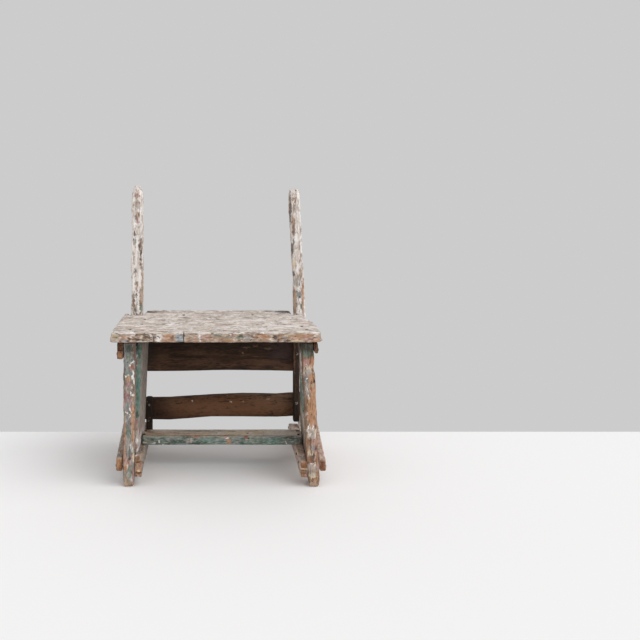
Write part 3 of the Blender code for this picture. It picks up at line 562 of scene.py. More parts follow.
class PaintColours(bpy.types.PropertyGroup):
    """The colours of the timber and of the coats on it."""

    crust_light: paint_colour("Pale crust", "Top coats of the seat", "#DDD2CA")
    crust_dark: paint_colour("Dirty crust", "The same coats, soiled", "#AB9C91")
    white: paint_colour("White paint", "Splashes and drips", "#F1ECE8")
    cream: paint_colour("Cream paint", "A yellowed white", "#D6C6AC")
    yellow: paint_colour("Yellowed coat", "Yellowed varnish at the seat's left end", "#B8A78A")
    tan: paint_colour("Tan timber", "Worn timber of the seat's edge", "#AC9078")
    orange: paint_colour("Orange timber", "Bare timber of the right leg", "#B68866")
    brown: paint_colour("Brown timber", "Darker bands of bare timber", "#7C6350")
    umber: paint_colour("Oiled end grain", "Raw front ends of the rails", "#7E563B")
    rust: paint_colour("Red-brown", "Oxide stains and old wounds", "#774B3B")
    red: paint_colour("Red primer", "Oxide primer in worn spots", "#96604F")
    pink: paint_colour("Pink primer", "Old primer under the coats", "#B89287")
    rose: paint_colour("Rose paint", "Specks of a rose coat", "#9E7474")
    grey: paint_colour("Grey paint", "Side planks", "#A09A93")
    slate: paint_colour("Blue-grey paint", "Soiled patches of blue-grey", "#868A89")
    blue: paint_colour("Blue paint", "A patch on the seat's edge", "#8799A2")
    teal: paint_colour("Teal paint", "Front edges of the planks", "#6A8B7F")
    green: paint_colour("Green paint", "Stretcher and leg paint", "#717F72")
    deep_green: paint_colour("Deep green paint", "The same paint, soiled", "#4D594F")
    plum: paint_colour("Dark stain", "Soot and oil in cracks", "#4A3C3C")
    dirt: paint_colour("Dirt", "Dirt in hollows and splits", "#2C241E")
    soot_dark: paint_colour("Dark board", "Unpainted boards at the back", "#3A2A21")
    soot_light: paint_colour("Board grain", "Lighter grain of the same boards", "#664B39")


class StageSettings(bpy.types.PropertyGroup):
    """Floor, light and camera."""

    floor_tone: FloatVectorProperty(name="Floor", description="Colour of the floor", subtype="COLOR",
                                    default=linear("#F6F5F5"))
    sky_tone: FloatVectorProperty(name="Surroundings", description="Tone of the light from all round",
                                  subtype="COLOR", default=linear("#CCCCCC"))
    key_strength: FloatProperty(name="Key light", description="Strength of the soft light at the right",
                                default=1.5)
    fill_strength: FloatProperty(name="Fill light", description="Strength of the very soft light at the left",
                                 default=0.5)
    eye_height: FloatProperty(name="Camera height", description="Height of the camera over the floor",
                              default=0.7025, unit="LENGTH")
    eye_distance: FloatProperty(name="Camera distance", description="From the camera to the legs' fronts",
                                default=1.850, unit="LENGTH")


class STOOL_OT_seat(bpy.types.Operator):
    """Makes the seat plank: a wrinkled crust of paint on top, worn bare in front."""

    bl_idname = "stool.seat"
    bl_label = "Seat"

    def execute(self, context):
        sizes = context.scene.stool_timber
        low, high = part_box("seat")
        middle_mm = (high[2] - low[2]) / MM / 2
        plugs = [((offset, PLUG_DEEP_MM, middle_mm), PLUG_MM) for offset, _, _ in KERFS_MM]
        lumps = placed("seat", (*SEAT_LUMPS_MM, *plugs))
        piece = worn_timber("seat", sizes.seat_grid, 4, lumps, placed("seat", SEAT_BITES_MM))
        press(piece, 60, 1.8, (2.5, 1, 1), seed=1, level=0.8)
        press(piece, 9, sizes.crust_depth, (5, 1, 1), seed=2, level=0.8)
        press(piece, 12, 1.1, (2, 1, 1), seed=3, contrast=3)
        press(piece, 5, 0.9, (1.5, 1, 1), seed=4, contrast=2)
        for offset, height, half_height in KERFS_MM:
            cut(piece, corner_place("seat", offset, KERF_DEEP_MM, height),
                (KERF_HALF_WIDTH_MM, KERF_HALF_DEPTH_MM, half_height))
        for place, size in placed("seat", SEAT_SLITS_MM):
            cut(piece, place, size, round_form=True)
        hand_over(piece, "seat", seat_finish(context.scene.stool_paint))
        return {"FINISHED"}


# The saw cuts in the seat's front edge, each with its place along it, its height and its half height
KERFS_MM = ((118.0, 11, 8), (191.2, 15, 15.5))
KERF_DEEP_MM = 4
KERF_HALF_WIDTH_MM = 1.0
KERF_HALF_DEPTH_MM = 9

# The plugs that close the frame's own saw cuts before the mesh is made fine
PLUG_DEEP_MM = 9
PLUG_MM = (3.2, 8.5, 13)

# A split in the top, behind the middle
SEAT_SLITS_MM = (((355.7, 242, 29), (11, 1.3, 5)),)

# A nub at the right corner, a run of thick paint by the left saw cut, and a blob on the right corner
SEAT_LUMPS_MM = (((531.5, 5, 8), (6, 4.5, 5)), ((129, 1.5, 12), (8, 3, 12)), ((519, 4, 24), (5, 4, 4)))

# Where the right end and the lower edge are chipped away
SEAT_BITES_MM = (((540, 100, 20), (10, 12, 30)), ((540, 40, 26), (7, 10, 12)), ((537, 175, 22), (9, 9, 30)),
                 ((423, -2, 0), (3, 7, 6)), ((-3, -2, -3), (8, 20, 7)), ((302, -4, 31), (30, 7, 4)))

# Patches on the front edge, by colour, each its place along and up the edge and its half sizes
SEAT_PATCHES_MM = {
    "yellow": [(22, 18, 10, 10), (462, 23, 28, 3)],
    "orange": [(47, 12, 17, 5), (154, 15, 17, 10), (218, 11, 6, 9), (252, 15, 8, 8), (296, 7, 18, 5),
               (384, 17, 19, 10), (427, 15, 6, 6), (479, 14, 32, 8), (514, 8, 12, 7)],
    "rust": [(34, 5, 3, 3)],
    "slate": [(44, 7, 10, 4), (186, 5, 5, 6), (440, 15, 4, 4)],
    "plum": [(52, 6, 4, 3), (97, 17, 4, 2.5), (415, 15, 4, 6), (465, 17, 3, 2)],
    "crust_light": [(66, 20, 5, 3)],
    "rose": [(78, 14, 2.5, 4), (503, 12, 5, 5)],
    "cream": [(86, 16, 4, 4), (92, 4, 8, 3), (322, 24, 7, 2), (407, 15, 2.5, 10), (470, 6, 16, 3),
              (532, 8, 4, 3)],
    "brown": [(100, 14, 9, 6), (162, 14, 5, 8), (380, 10, 9, 2)],
    "white": [(109, 19, 3, 3), (129, 14, 7, 12), (229, 14, 2.6, 9), (306, 21, 3, 2.5), (363, 20, 2.4, 2.4),
              (519, 25, 5, 4)],
    "dirt": [(128, 18, 1.6, 2), (130, 14, 1.4, 2), (213, 24, 12, 2), (423, 6, 2.5, 4)],
    "pink": [(146, 12, 4, 5), (240, 14, 8, 9), (312, 20, 5, 3), (493, 14, 9, 6)],
    "blue": [(180, 14, 9, 9), (346, 13, 6, 3)],
    "tan": [(204, 12, 10, 10), (275, 9, 30, 7)],
    "green": [(274, 20, 14, 3), (296, 16, 7, 3), (328, 16, 13, 4)],
    "deep_green": [(332, 17, 8, 2.5)],
}

# Patches on the crust, by colour, each its place along and across the seat and its half sizes
CRUST_PATCHES_MM = {
    "white": [(60, 26, 13, 8), (210, 160, 30, 9), (430, 60, 40, 9)],
    "crust_dark": [(86, 120, 28, 8), (250, 320, 60, 14)],
    "plum": [(300, 360, 40, 3)],
    "crust_light": [(400, 180, 120, 130)],
    "cream": [(480, 200, 24, 10), (380, 330, 30, 12)],
    "green": [(330, 40, 18, 6)],
    "pink": [(505, 150, 18, 20)],
}

# Where the crust has broken open and dirt has lodged, except the first two dirt patches: the first darkens
# the top at the back right corner beside the post, and the second is painted shadow under a raised edge of
# the crust at the back left corner.
CRUST_PITS_MM = {
    "dirt": [(462, 352, 26, 22), (76, 350, 22, 20), (351, 238, 16, 6), (118, 364, 18, 6),
             (420, 360, 16, 8)],
    "brown": [(70, 22, 4, 5), (104, 352, 20, 6), (395, 236, 20, 4), (250, 380, 16, 5)],
    "rust": [(92, 88, 14, 5), (440, 130, 22, 4), (180, 240, 18, 4)],
}


def seat_finish(paint):
    """Oil paint, brushed on in many coats over a softwood plank: pale, wrinkled and chalky on top."""
    finish = Finish("crusted_oil_paint_on_softwood", ALONG_X)
    finish.timber(paint.brown, paint.tan, 7)
    finish.coat(paint.tan, paint.crust_dark, 0.7, 16, (2, 1, 1), thickness=0.2)
    finish.coat(paint.crust_dark, paint.crust_light, 0.25, 9, (2, 1, 1))
    finish.patches(paint, SEAT_PATCHES_MM, on_front("seat"), 0.75)
    finish.specks(paint.crust_light, 13, 0.2, 0.2, 0.7)
    top = finish.facing(2, 0.4, 0.25)
    finish.coat(paint.crust_dark, paint.crust_light, 0.92, 22, (3, 1, 1), soft=0.06, where=top)
    finish.coat(paint.cream, paint.pink, 0.12, 24, (3, 1, 1), soft=0.12, where=top, thickness=0.1)
    finish.patches(paint, CRUST_PATCHES_MM, on_top("seat", 28), 0.6, 0.5)
    finish.coat(paint.crust_light, paint.white, 0.4, 9, (3.5, 1, 1), where=top, thickness=0.5)
    finish.coat(paint.crust_dark, paint.cream, 0.18, 20, (4, 1, 1), soft=0.04, where=top, thickness=-0.3)
    finish.coat(paint.white, paint.crust_light, 0.25, 22, (4, 1, 1), soft=0.04, where=top)
    finish.coat(paint.brown, paint.crust_dark, 0.1, 8, (4, 1, 1), where=top, thickness=-0.4)
    finish.patches(paint, CRUST_PITS_MM, on_top("seat", 28), 0.85, 0.3)
    finish.mottle(paint.brown, paint.white, 5, 0.25)
    finish.cracks(paint.dirt, 12, 0.014, 0.8, (7, 1, 1))
    finish.specks(paint.dirt, 19, 0.16, 0.3, 0.7)
    finish.grime(SEAT_DIRT, 0.8)
    return finish.done(0.8)


class STOOL_OT_front_legs(bpy.types.Operator):
    """Makes the two front legs, one under green and pink paint and one worn to orange timber."""

    bl_idname = "stool.front_legs"
    bl_label = "Front legs"

    def execute(self, context):
        sizes = context.scene.stool_timber
        paint = context.scene.stool_paint
        makers = {"left": (left_leg_finish, "grey_green_paint"),
                  "right": (right_leg_finish, "worn_orange_timber")}
        for index, (side, (maker, slot)) in enumerate(makers.items()):
            node = "front_leg_" + side
            bites = placed(node, LEG_BITES_MM[side])
            piece = worn_timber(node, sizes.upright_grid, 4, bites=bites)
            press(piece, 35, 1.8, (1, 1, 2), seed=10 + index)
            press(piece, 3.2, sizes.grain_depth, (1, 1, 14), seed=12 + index)
            press(piece, 9, 1.4, (1, 1, 2.5), seed=14 + index, contrast=3)
            hand_over(piece, node, maker(paint))
        return {"FINISHED"}


# Chips along the legs' corners
LEG_BITES_MM = {
    "left": (((38, 0, 262), (5, 7, 12)), ((36, -1, 180), (4, 5, 9)), ((2, -1, 120), (4, 5, 22))),
    "right": (((33, 8, 300), (4, 20, 6)), ((31, -1, 262), (3, 8, 5)), ((0, -1, 250), (4, 6, 30)),
              ((46, -1, 95), (4, 6, 9))),
}

# Patches on the legs' fronts, by colour, each its place across and up the leg and its half sizes
LEFT_LEG_PATCHES_MM = {
    "slate": [(12, 338, 11, 18), (12, 306, 8, 12), (17, 289, 7, 7), (14, 204, 8, 11), (16, 166, 7, 18),
              (17, 82, 7, 8)],
    "green": [(18, 322, 9, 14), (17, 134, 6, 16), (21, 48, 4, 10), (19, 33, 4, 12)],
    "deep_green": [(22, 345, 12, 10)],
    "rust": [(32, 336, 3, 18), (32, 318, 2.5, 8)],
    "white": [(25.5, 308, 4.5, 1.4), (21, 302, 1.4, 3.5), (30, 311, 3, 1.3), (15, 278.5, 3.4, 1.5),
              (11, 275, 2.2, 2), (29, 284, 1.8, 6), (27.5, 274, 2.4, 8), (31, 262, 2, 8),
              (27, 228, 3.6, 2.2), (23.5, 234, 1.6, 4), (21, 193, 1.8, 5), (13, 185, 3.4, 1.9),
              (21.5, 177, 1.4, 5), (23, 100, 1.3, 8)],
    "red": [(27, 297, 7, 5), (30, 190, 3, 14)],
    "orange": [(18, 268, 6, 8), (31, 226, 4, 8), (29, 160, 5, 62), (6, 112, 4, 78), (8, 88, 4, 12),
               (8, 48, 6, 18)],
    "rose": [(19, 256, 6, 7), (15, 228, 8, 11), (14, 215, 5, 4)],
    "brown": [(5, 250, 4, 50), (29, 245, 4, 9), (4, 110, 4, 30), (22, 2, 6, 3)],
    "grey": [(18, 240, 6, 8), (18, 105, 9, 12)],
    "cream": [(25, 247, 2.4, 4), (30, 74, 3, 12), (14, 54, 2, 9), (10, 14, 4, 5)],
    "pink": [(5, 205, 4, 16), (12, 66, 3, 12)],
    "crust_light": [(27, 92, 3, 8), (25, 22, 3, 8)],
    "plum": [(21, 70, 3, 4), (39, 8, 5, 5)],
    "crust_dark": [(20, 28, 8, 10)],
    "teal": [(21, 31, 2.5, 11)],
    "tan": [(17, 7, 15, 8), (8, 20, 7, 9)],
}

RIGHT_LEG_PATCHES_MM = {
    "deep_green": [(14, 343, 19, 20), (26, 336, 5, 12), (30, 128, 3, 3), (29, 78, 2.5, 6)],
    "green": [(10, 330, 10, 8), (16, 205, 3, 12), (28, 30, 6, 5)],
    "pink": [(14, 307, 14, 11), (33, 112, 8, 10), (33, 72, 3, 5), (40, 50, 4, 10)],
    "rose": [(8, 312, 2, 7), (15, 304, 3, 3), (27, 128, 4, 5), (32, 88, 3, 6)],
    "rust": [(20, 312, 2, 6), (26, 294, 4, 5), (23, 290, 8, 1.4), (21, 252, 3, 4)],
    "crust_light": [(11, 301, 2.4, 5), (23, 138, 11, 16), (22, 57, 4, 5), (31, 53, 2.5, 6)],
    "orange": [(26, 308, 5, 14), (24, 270, 9, 13), (26, 240, 12, 24), (24, 200, 15, 36), (26, 172, 11, 22),
               (24, 140, 1.6, 12), (34, 16, 8, 5)],
    "cream": [(17, 292, 7, 9), (17, 222, 3, 6), (20, 136, 1.2, 14), (32, 136, 1.3, 14), (25, 84, 1.6, 5),
              (18, 86, 3, 12), (26, 30, 10, 8)],
    "grey": [(16, 286, 5, 7), (13, 250, 5, 12), (14, 232, 5, 10), (25, 132, 5, 12), (26, 96, 3, 11),
             (22, 38, 4, 9)],
    "slate": [(12, 268, 5, 9), (30, 98, 2, 6)],
    "white": [(12, 268, 1.8, 2.6), (14, 243, 1.2, 5), (16, 228, 1.6, 1.8), (16, 147, 0.8, 8),
              (21, 128, 0.7, 6), (27, 148, 0.9, 6), (33, 128, 0.8, 6), (18, 156, 0.7, 4), (24, 59, 3, 1.1),
              (33, 61, 1, 3)],
    "yellow": [(26, 284, 3, 3), (26, 252, 4, 5), (35, 84, 3, 4)],
    "red": [(22, 244, 3, 5), (39, 92, 3, 20), (22, 64, 3, 9)],
    "brown": [(9, 205, 5, 30), (21, 100, 2.5, 8), (22, 74, 3, 5)],
    "tan": [(18, 140, 1.3, 14), (30, 140, 1.3, 13), (27, 42, 2, 8), (29, 8, 15, 9)],
    "crust_dark": [(24, 52, 6, 10), (33, 44, 5, 9)],
    "plum": [(17, 14, 3, 4)],
}


def left_leg_finish(paint):
    """Grey-green oil paint over pink primer on softwood, worn through along the edges."""
    finish = Finish("grey_green_paint_over_pink_primer", ALONG_Z)
    finish.timber(paint.brown, paint.orange, 5)
    finish.coat(paint.rose, paint.grey, 0.6, 14, (1, 1, 2), soft=0.05)
    finish.coat(paint.green, paint.slate, 0.45, 12, (1, 1, 3), soft=0.05)
    # The last value is the strength of the painted shade under the seat
    return finish_upright(finish, paint, LEFT_LEG_PATCHES_MM, on_front("front_leg_left"), under_seat_shade=0.45)


def right_leg_finish(paint):
    """Softwood worn bare and oiled by hands, with the last grey and green paint in its grain."""
    finish = Finish("bare_orange_softwood_with_paint_remains", ALONG_Z)
    finish.timber(paint.brown, paint.orange, 4)
    finish.coat(paint.pink, paint.grey, 0.25, 12, (1, 1, 3), soft=0.05)
    finish.coat(paint.crust_light, paint.grey, 0.1, 9, (1, 1, 4))
    # The last two values are the mottled wear and the strength of the painted shade under the seat
    return finish_upright(finish, paint, RIGHT_LEG_PATCHES_MM, on_front("front_leg_right"), 0.15, 0.8)


def finish_upright(finish, paint, table, spot, wear=0.22, under_seat_shade=0.3):
    """The patches, stains and splits on a piece that stands upright, with its white splashes on top, and
    painted shade under the seat.
    """
    finish.patches(paint, {colour: rows for colour, rows in table.items() if colour != "white"}, spot)
    finish.coat(paint.plum, paint.brown, 0.08, 5, (1, 1, 4), thickness=-0.4)
    finish.mottle(paint.brown, paint.crust_light, 4, wear)
    finish.specks(paint.crust_light, 11, 0.18, 0.18, 0.8)
    finish.specks(paint.dirt, 12, 0.16, 0.2, 0.6)
    finish.cracks(paint.dirt, 9, 0.011, 0.6)
    if "white" in table:
        finish.patches(paint, {"white": table["white"]}, spot, 0.9, 0.2)
    # Painted shade where the seat overhangs the top of the piece
    finish.under_seat_shade(UPRIGHT_UNDER_SEAT_SHADE, under_seat_shade)
    finish.grime(HOLLOW_DIRT, 0.7)
    return finish.done(0.7)


class STOOL_OT_back_posts(bpy.types.Operator):
    """Makes the two back posts, thick with whitish paint."""

    bl_idname = "stool.back_posts"
    bl_label = "Back posts"

    def execute(self, context):
        sizes = context.scene.stool_timber
        reliefs = ((30, 2.2, (1, 1, 2)), (3.4, sizes.grain_depth, (1, 1, 12)), (10, 1.5, (1, 1, 2), 3))
        make_timbers(context, pair("back_post"), sizes.upright_grid, reliefs, 20, post_finish,
                     4)
        return {"FINISHED"}


# How much of each post's paint is mottled
POST_WEAR = {"left": 0.3, "right": 0.18}

# Patches on the posts' fronts, laid out as on the legs
POST_PATCHES_MM = {
    "left": {
        "white": [(35, 733, 2.4, 8), (19, 645, 3, 9), (25, 585, 3, 22), (22, 540, 3, 26), (16, 478, 3, 36),
                  (33, 490, 4, 30), (29, 436, 3, 26), (22, 424, 3, 12), (29, 400, 4, 14)],
        "pink": [(27, 728, 8, 8), (25, 456, 4, 8)],
        "crust_dark": [(26, 700, 8, 14)],
        "tan": [(28, 672, 6, 9), (26, 470, 4, 10), (40, 470, 4, 46), (38, 430, 6, 22)],
        "slate": [(22, 660, 4, 12), (20, 594, 4, 9)],
        "rose": [(26, 655, 5, 9)],
        "plum": [(18, 618, 3, 8), (31, 578, 3, 9), (21, 512, 3, 6), (28, 386, 5, 3)],
        "crust_light": [(27, 625, 6, 9), (28, 530, 6, 22)],
        "brown": [(35, 588, 5, 22), (36, 520, 4, 12), (16, 425, 5, 28)],
        "dirt": [(36, 561, 3, 12), (35, 545, 3, 5), (26, 436, 2.5, 24)],
        "green": [(36, 404, 5, 12), (21, 400, 3, 9)],
    },
    "right": {
        "white": [(25, 728, 3, 9), (20, 600, 4, 16), (25, 520, 4, 18), (29, 460, 4, 10), (33, 425, 4, 8),
                  (27, 404, 3, 9), (34, 398, 3, 6)],
        "crust_light": [(14, 738, 8, 6), (20, 650, 4, 20), (22, 560, 6, 22)],
        # The first brown strip is painted shade: the dark side of the post, laid along the left edge of its
        # front
        "brown": [(2, 690, 1.6, 50), (14, 633, 5, 24), (14, 445, 3, 16), (16, 398, 5, 12)],
        "tan": [(14, 716, 6, 5), (12, 655, 5, 12), (33, 500, 4, 16), (17, 430, 5, 34)],
        "plum": [(5, 690, 2.5, 45), (10, 575, 3, 18), (14, 505, 3, 9), (25, 442, 2.5, 5)],
        "crust_dark": [(16, 690, 7, 12)],
        "slate": [(13, 590, 4, 10), (30, 450, 7, 26)],
        "cream": [(15, 530, 5, 12)],
        "grey": [(22, 480, 6, 14)],
        "orange": [(40, 440, 4, 44)],
        "deep_green": [(31, 436, 2.5, 3), (28, 384, 7, 4)],
        "green": [(35, 412, 4, 12)],
    },
}


def post_finish(paint, node):
    """Whitish distemper and oil paint in thick flakes, over tan timber."""
    side = side_of(node)
    finish = Finish("flaking_white_paint_on_post_" + side, ALONG_Z)
    finish.timber(paint.brown, paint.tan, 5)
    finish.coat(paint.crust_dark, paint.tan, 0.8, 12, (1, 1, 2.5))
    finish.coat(paint.crust_light, paint.crust_dark, 0.8, 10, (1, 1, 2.5), thickness=0.6)
    finish.coat(paint.white, paint.crust_light, 0.6, 8, (1, 1, 4), thickness=0.5)
    spot = on_front(node, 10, 32)
    return finish_upright(finish, paint, POST_PATCHES_MM[side], spot, POST_WEAR[side], 0)


class STOOL_OT_side_planks(bpy.types.Operator):
    """Makes the two side planks, with green front edges and grey faces."""

    bl_idname = "stool.side_planks"
    bl_label = "Side planks"

    def execute(self, context):
        sizes = context.scene.stool_timber
        reliefs = ((50, 1.2, (1, 1, 2)), (3.6, sizes.grain_depth * 0.8, (1, 1, 14)))
        make_timbers(context, pair("side_plank"), sizes.board_grid, reliefs, 30, plank_finish)
        return {"FINISHED"}


# Patches on the planks' front edges, laid out as on the legs. The dark patch at the top of each, plum on the
# left and deep green on the right, is painted shade under the seat.
PLANK_PATCHES_MM = {
    "left": {
        # First plum patch: painted shade at the top, under the seat
        "plum": [(14, 290, 14, 22), (16, 62, 2.5, 6)],
        "slate": [(24, 288, 5, 14)],
        "teal": [(21, 262, 8, 20), (18, 190, 8, 44), (18, 225, 7, 20), (16, 130, 8, 30)],
        "white": [(13, 250, 3, 8), (14, 36, 5, 6), (18, 12, 4, 7)],
        "red": [(15, 236, 4, 6)],
        "rust": [(10, 246, 3, 8)],
        "deep_green": [(16, 100, 5, 8)],
        "rose": [(14, 84, 4, 8)],
        "pink": [(14, 70, 5, 16), (20, 16, 9, 14)],
        "crust_light": [(14, 50, 8, 12), (24, 34, 8, 14), (26, 60, 5, 18)],
    },
    "right": {
        # Painted shade at the top, under the seat
        "deep_green": [(6, 300, 12, 18)],
        "teal": [(5, 194, 13, 32), (5, 142, 14, 26)],
        "crust_light": [(4, 236, 2.2, 44), (3, 110, 14, 10)],
        "slate": [(6, 178, 7, 10)],
        "cream": [(9, 86, 6, 20)],
        "plum": [(3, 100, 3, 14)],
        "grey": [(14, 60, 8, 14)],
    },
}

# How far behind the planks' front edges the patches on their faces are centred, and their reach
PLANK_FACE_DEEP_MM = {"left": (80, 110), "right": (30, 70)}

# Patches that run right across the planks' faces
PLANK_FACE_PATCHES_MM = {
    "left": {
        "crust_light": [(37, 34, 10, 60)],
        "pink": [(24, 26, 18, 28)],
        "white": [(22, 18, 14, 24)],
        "crust_dark": [(38, 170, 9, 90)],
        "grey": [(38, 230, 8, 60)],
    },
    "right": {
        "brown": [(8, 40, 20, 36)],
        "cream": [(8, 104, 20, 20)],
        "teal": [(7, 164, 20, 46)],
        "crust_dark": [(-2, 250, 12, 30)],
    },
}


def plank_finish(paint, node):
    """Grey distemper on a sawn plank, with green oil paint on its front edge."""
    side = side_of(node)
    finish = Finish("grey_distemper_on_plank_" + side, ALONG_Z)
    finish.timber(paint.brown, paint.grey, 6)
    finish.coat(paint.grey, paint.crust_dark, 0.75, 25, (1, 1, 3), soft=0.06)
    finish.coat(paint.teal, paint.green, 0.7, 14, (1, 1, 3), where=finish.facing(1, 0.5, 0.2, -1))
    finish.coat(paint.crust_light, paint.grey, 0.2, 12, (1, 1, 5), soft=0.06)
    face = on_front(node, *PLANK_FACE_DEEP_MM[side])
    finish.patches(paint, PLANK_FACE_PATCHES_MM[side], face, 0.75, 0.5)
    # With painted shade under the seat at the top of the plank
    return finish_upright(finish, paint, PLANK_PATCHES_MM[side], on_front(node), under_seat_shade=0.6)


class STOOL_OT_upper_rails(bpy.types.Operator):
    """Makes the two battens under the seat."""

    bl_idname = "stool.upper_rails"
    bl_label = "Upper rails"

    def execute(self, context):
        make_rails(context, pair("upper_rail"), 40)
        return {"FINISHED"}


class STOOL_OT_outer_rails(bpy.types.Operator):
    """Makes the two low rails outside the legs."""

    bl_idname = "stool.outer_rails"
    bl_label = "Outer rails"

    def execute(self, context):
        make_rails(context, pair("outer_rail"), 50)
        return {"FINISHED"}


class STOOL_OT_inner_rails(bpy.types.Operator):
    """Makes the two low rails inside the legs, which carry the stretcher."""

    bl_idname = "stool.inner_rails"
    bl_label = "Inner rails"

    def execute(self, context):
        make_rails(context, pair("inner_rail"), 60)
        return {"FINISHED"}


# Splits in the front ends of the rails, each with its place and its half sizes
RAIL_SPLITS_MM = {
    "upper_rail_left": (((30, 0, 23), (14, 9, 0.8)), ((27, 0, -1), (3, 9, 3))),
    "upper_rail_right": (((4, 0, 22), (0.8, 8, 14)),),
    "outer_rail_left": (((42, 0, 16), (0.8, 9, 18)), ((36, 0, 6), (10, 7, 0.6))),
    "outer_rail_right": (((6, 0, 18), (0.7, 9, 14)), ((10, 0, 24), (10, 7, 0.6))),
    "inner_rail_left": (((28, 0, 39), (14, 8, 1.0)), ((28, 0, 12), (14, 9, 1.0)), ((22, 0, 2), (2, 9, 5)),
                        ((31, 0, 0), (2, 8, 4))),
    "inner_rail_right": (((14, 0, 18.5), (14, 10, 1.1)), ((20, 0, 6), (0.8, 8, 8))),
}

# Patches on the front ends of the rails, laid out as on the legs
RAIL_PATCHES_MM = {
    "upper_rail_left": {
        # This rail's end is partly real umber end grain and partly painted shade under the seat, so its
        # patches are darker
        "umber": [(31, 30, 8, 8)],
        "rust": [(30, 22, 9, 2.5)],
        "orange": [(31, 12, 5, 4)],
        "plum": [(25, 3, 6, 3)],
    },
    "upper_rail_right": {
        "orange": [(4, 15, 3, 12)],
        "brown": [(9, 14, 3, 14)],
    },
    "outer_rail_left": {
        "orange": [(35, 16, 6, 11)],
        "tan": [(36, 31, 8, 2.5)],
        "umber": [(39, 12, 4, 14)],
    },
    "outer_rail_right": {
        "rust": [(8, 20, 6, 10)],
        "tan": [(12, 27, 8, 3)],
        "umber": [(7, 6, 8, 6)],
    },
    "inner_rail_left": {
        "white": [(22, 55, 5, 1.2), (26, 1, 7, 2.5)],
        "brown": [(26, 47, 6, 6)],
        "umber": [(28, 38, 9, 3)],
        "tan": [(28, 28, 9, 8), (28, 5, 9, 4)],
        "rose": [(31, 30, 3, 5)],
        "cream": [(29, 17, 4, 2.5)],
        "rust": [(28, 12, 10, 2)],
        "crust_dark": [(34, 46, 3, 8)],
    },
    "inner_rail_right": {
        "cream": [(14, 22, 12, 2)],
        "umber": [(14, 30, 9, 6)],
        "brown": [(16, 11, 9, 6)],
        "pink": [(20, 8, 4, 5)],
    },
}


def make_rails(context, nodes, seed):
    """A left and a right rail, split and open along the grain."""
    sizes = context.scene.stool_timber
    reliefs = ((30, 1.2, (1, 2, 1)), (3.2, sizes.grain_depth, (1, 14, 1)))
    make_timbers(context, nodes, sizes.rail_grid, reliefs, seed, rail_finish)


def rail_finish(paint, node):
    """Sawn softwood rail: grey paint along its sides, and raw brown end grain in front."""
    finish = Finish("painted_rail_with_raw_end_" + node, ALONG_Y)
    finish.timber(paint.brown, paint.tan, 5)
    if side_of(node) == "left":
        finish.coat(paint.grey, paint.crust_dark, 0.7, 18, (1, 3, 1))
        finish.coat(paint.tan, paint.grey, 0.4, 16, (1, 3, 1))
    else:
        finish.coat(paint.crust_light, paint.pink, 0.85, 18, (1, 3, 1))
        finish.coat(paint.cream, paint.pink, 0.45, 16, (1, 3, 1), soft=0.06)
    finish.coat(paint.crust_light, paint.crust_dark, 0.25, 9, (1, 4, 1))
    end = finish.facing(1, 0.6, 0.2, -1)
    finish.lay(end, finish.two_tone(paint.umber, paint.orange, 5))
    finish.patches(paint, RAIL_PATCHES_MM[node], on_front(node, 1, 7))
    finish.mottle(paint.brown, paint.tan, 4, 0.3)
    # Painted shade under the seat, which reaches only the upper rails
    finish.under_seat_shade(RAIL_UNDER_SEAT_SHADE, 0.8)
    finish.specks(paint.dirt, 12, 0.18, 0.25, 0.7)
    finish.cracks(paint.dirt, 8, 0.012, 0.7)
    finish.grime(HOLLOW_DIRT, 0.8)
    return finish.done(0.7)


class STOOL_OT_stretcher(bpy.types.Operator):
    """Makes the flat board between the rails: green in front, trodden bare on top."""

    bl_idname = "stool.stretcher"
    bl_label = "Stretcher"

    def execute(self, context):
        sizes = context.scene.stool_timber
        reliefs = ((50, 1.5, (2, 1, 1)), (3.6, sizes.grain_depth, (16, 1, 1)))
        make_timbers(context, ["front_stretcher"], sizes.board_grid, reliefs, 70, stretcher_finish)
        return {"FINISHED"}


# Patches on the stretcher's front, laid out as on the seat's edge
STRETCHER_PATCHES_MM = {
    "red": [(143, 22, 6, 3.5), (277, 21, 7, 3.5)],
    "pink": [(150, 23, 4, 2), (222, 21, 9, 3)],
    "orange": [(143, 25.5, 84, 1.6), (229, 10, 6, 7)],
    "white": [(226, 20, 4, 2), (31, 6, 5, 2), (45, 10, 2, 3), (54, 2, 2, 3), (382, 7, 2.4, 2.4)],
    "deep_green": [(20, 12, 12, 8), (92, 10, 30, 4), (395, 18, 20, 5)],
    "slate": [(80, 18, 18, 3), (200, 5, 16, 3)],
    "grey": [(120, 8, 4, 10)],
    "green": [(300, 12, 22, 8)],
    "teal": [(340, 10, 20, 7), (170, 14, 18, 5)],
    "cream": [(416, 3, 8, 3)],
    "crust_dark": [(130, 14, 3, 7)],
}

# Patches on its trodden top, laid out as on the seat's crust
TREAD_PATCHES_MM = {
    "tan": [(30, 20, 40, 14), (100, 26, 46, 8)],
    "slate": [(150, 48, 60, 8)],
    "cream": [(330, 34, 60, 20), (260, 22, 34, 8)],
    "white": [(385, 34, 52, 34)],
    "green": [(60, 3, 80, 9), (210, 3, 90, 9), (350, 3, 90, 8)],
    "orange": [(140, 11, 90, 3)],
    "red": [(146, 8, 7, 4), (277, 7, 7, 4)],
    "pink": [(222, 8, 9, 5)],
}


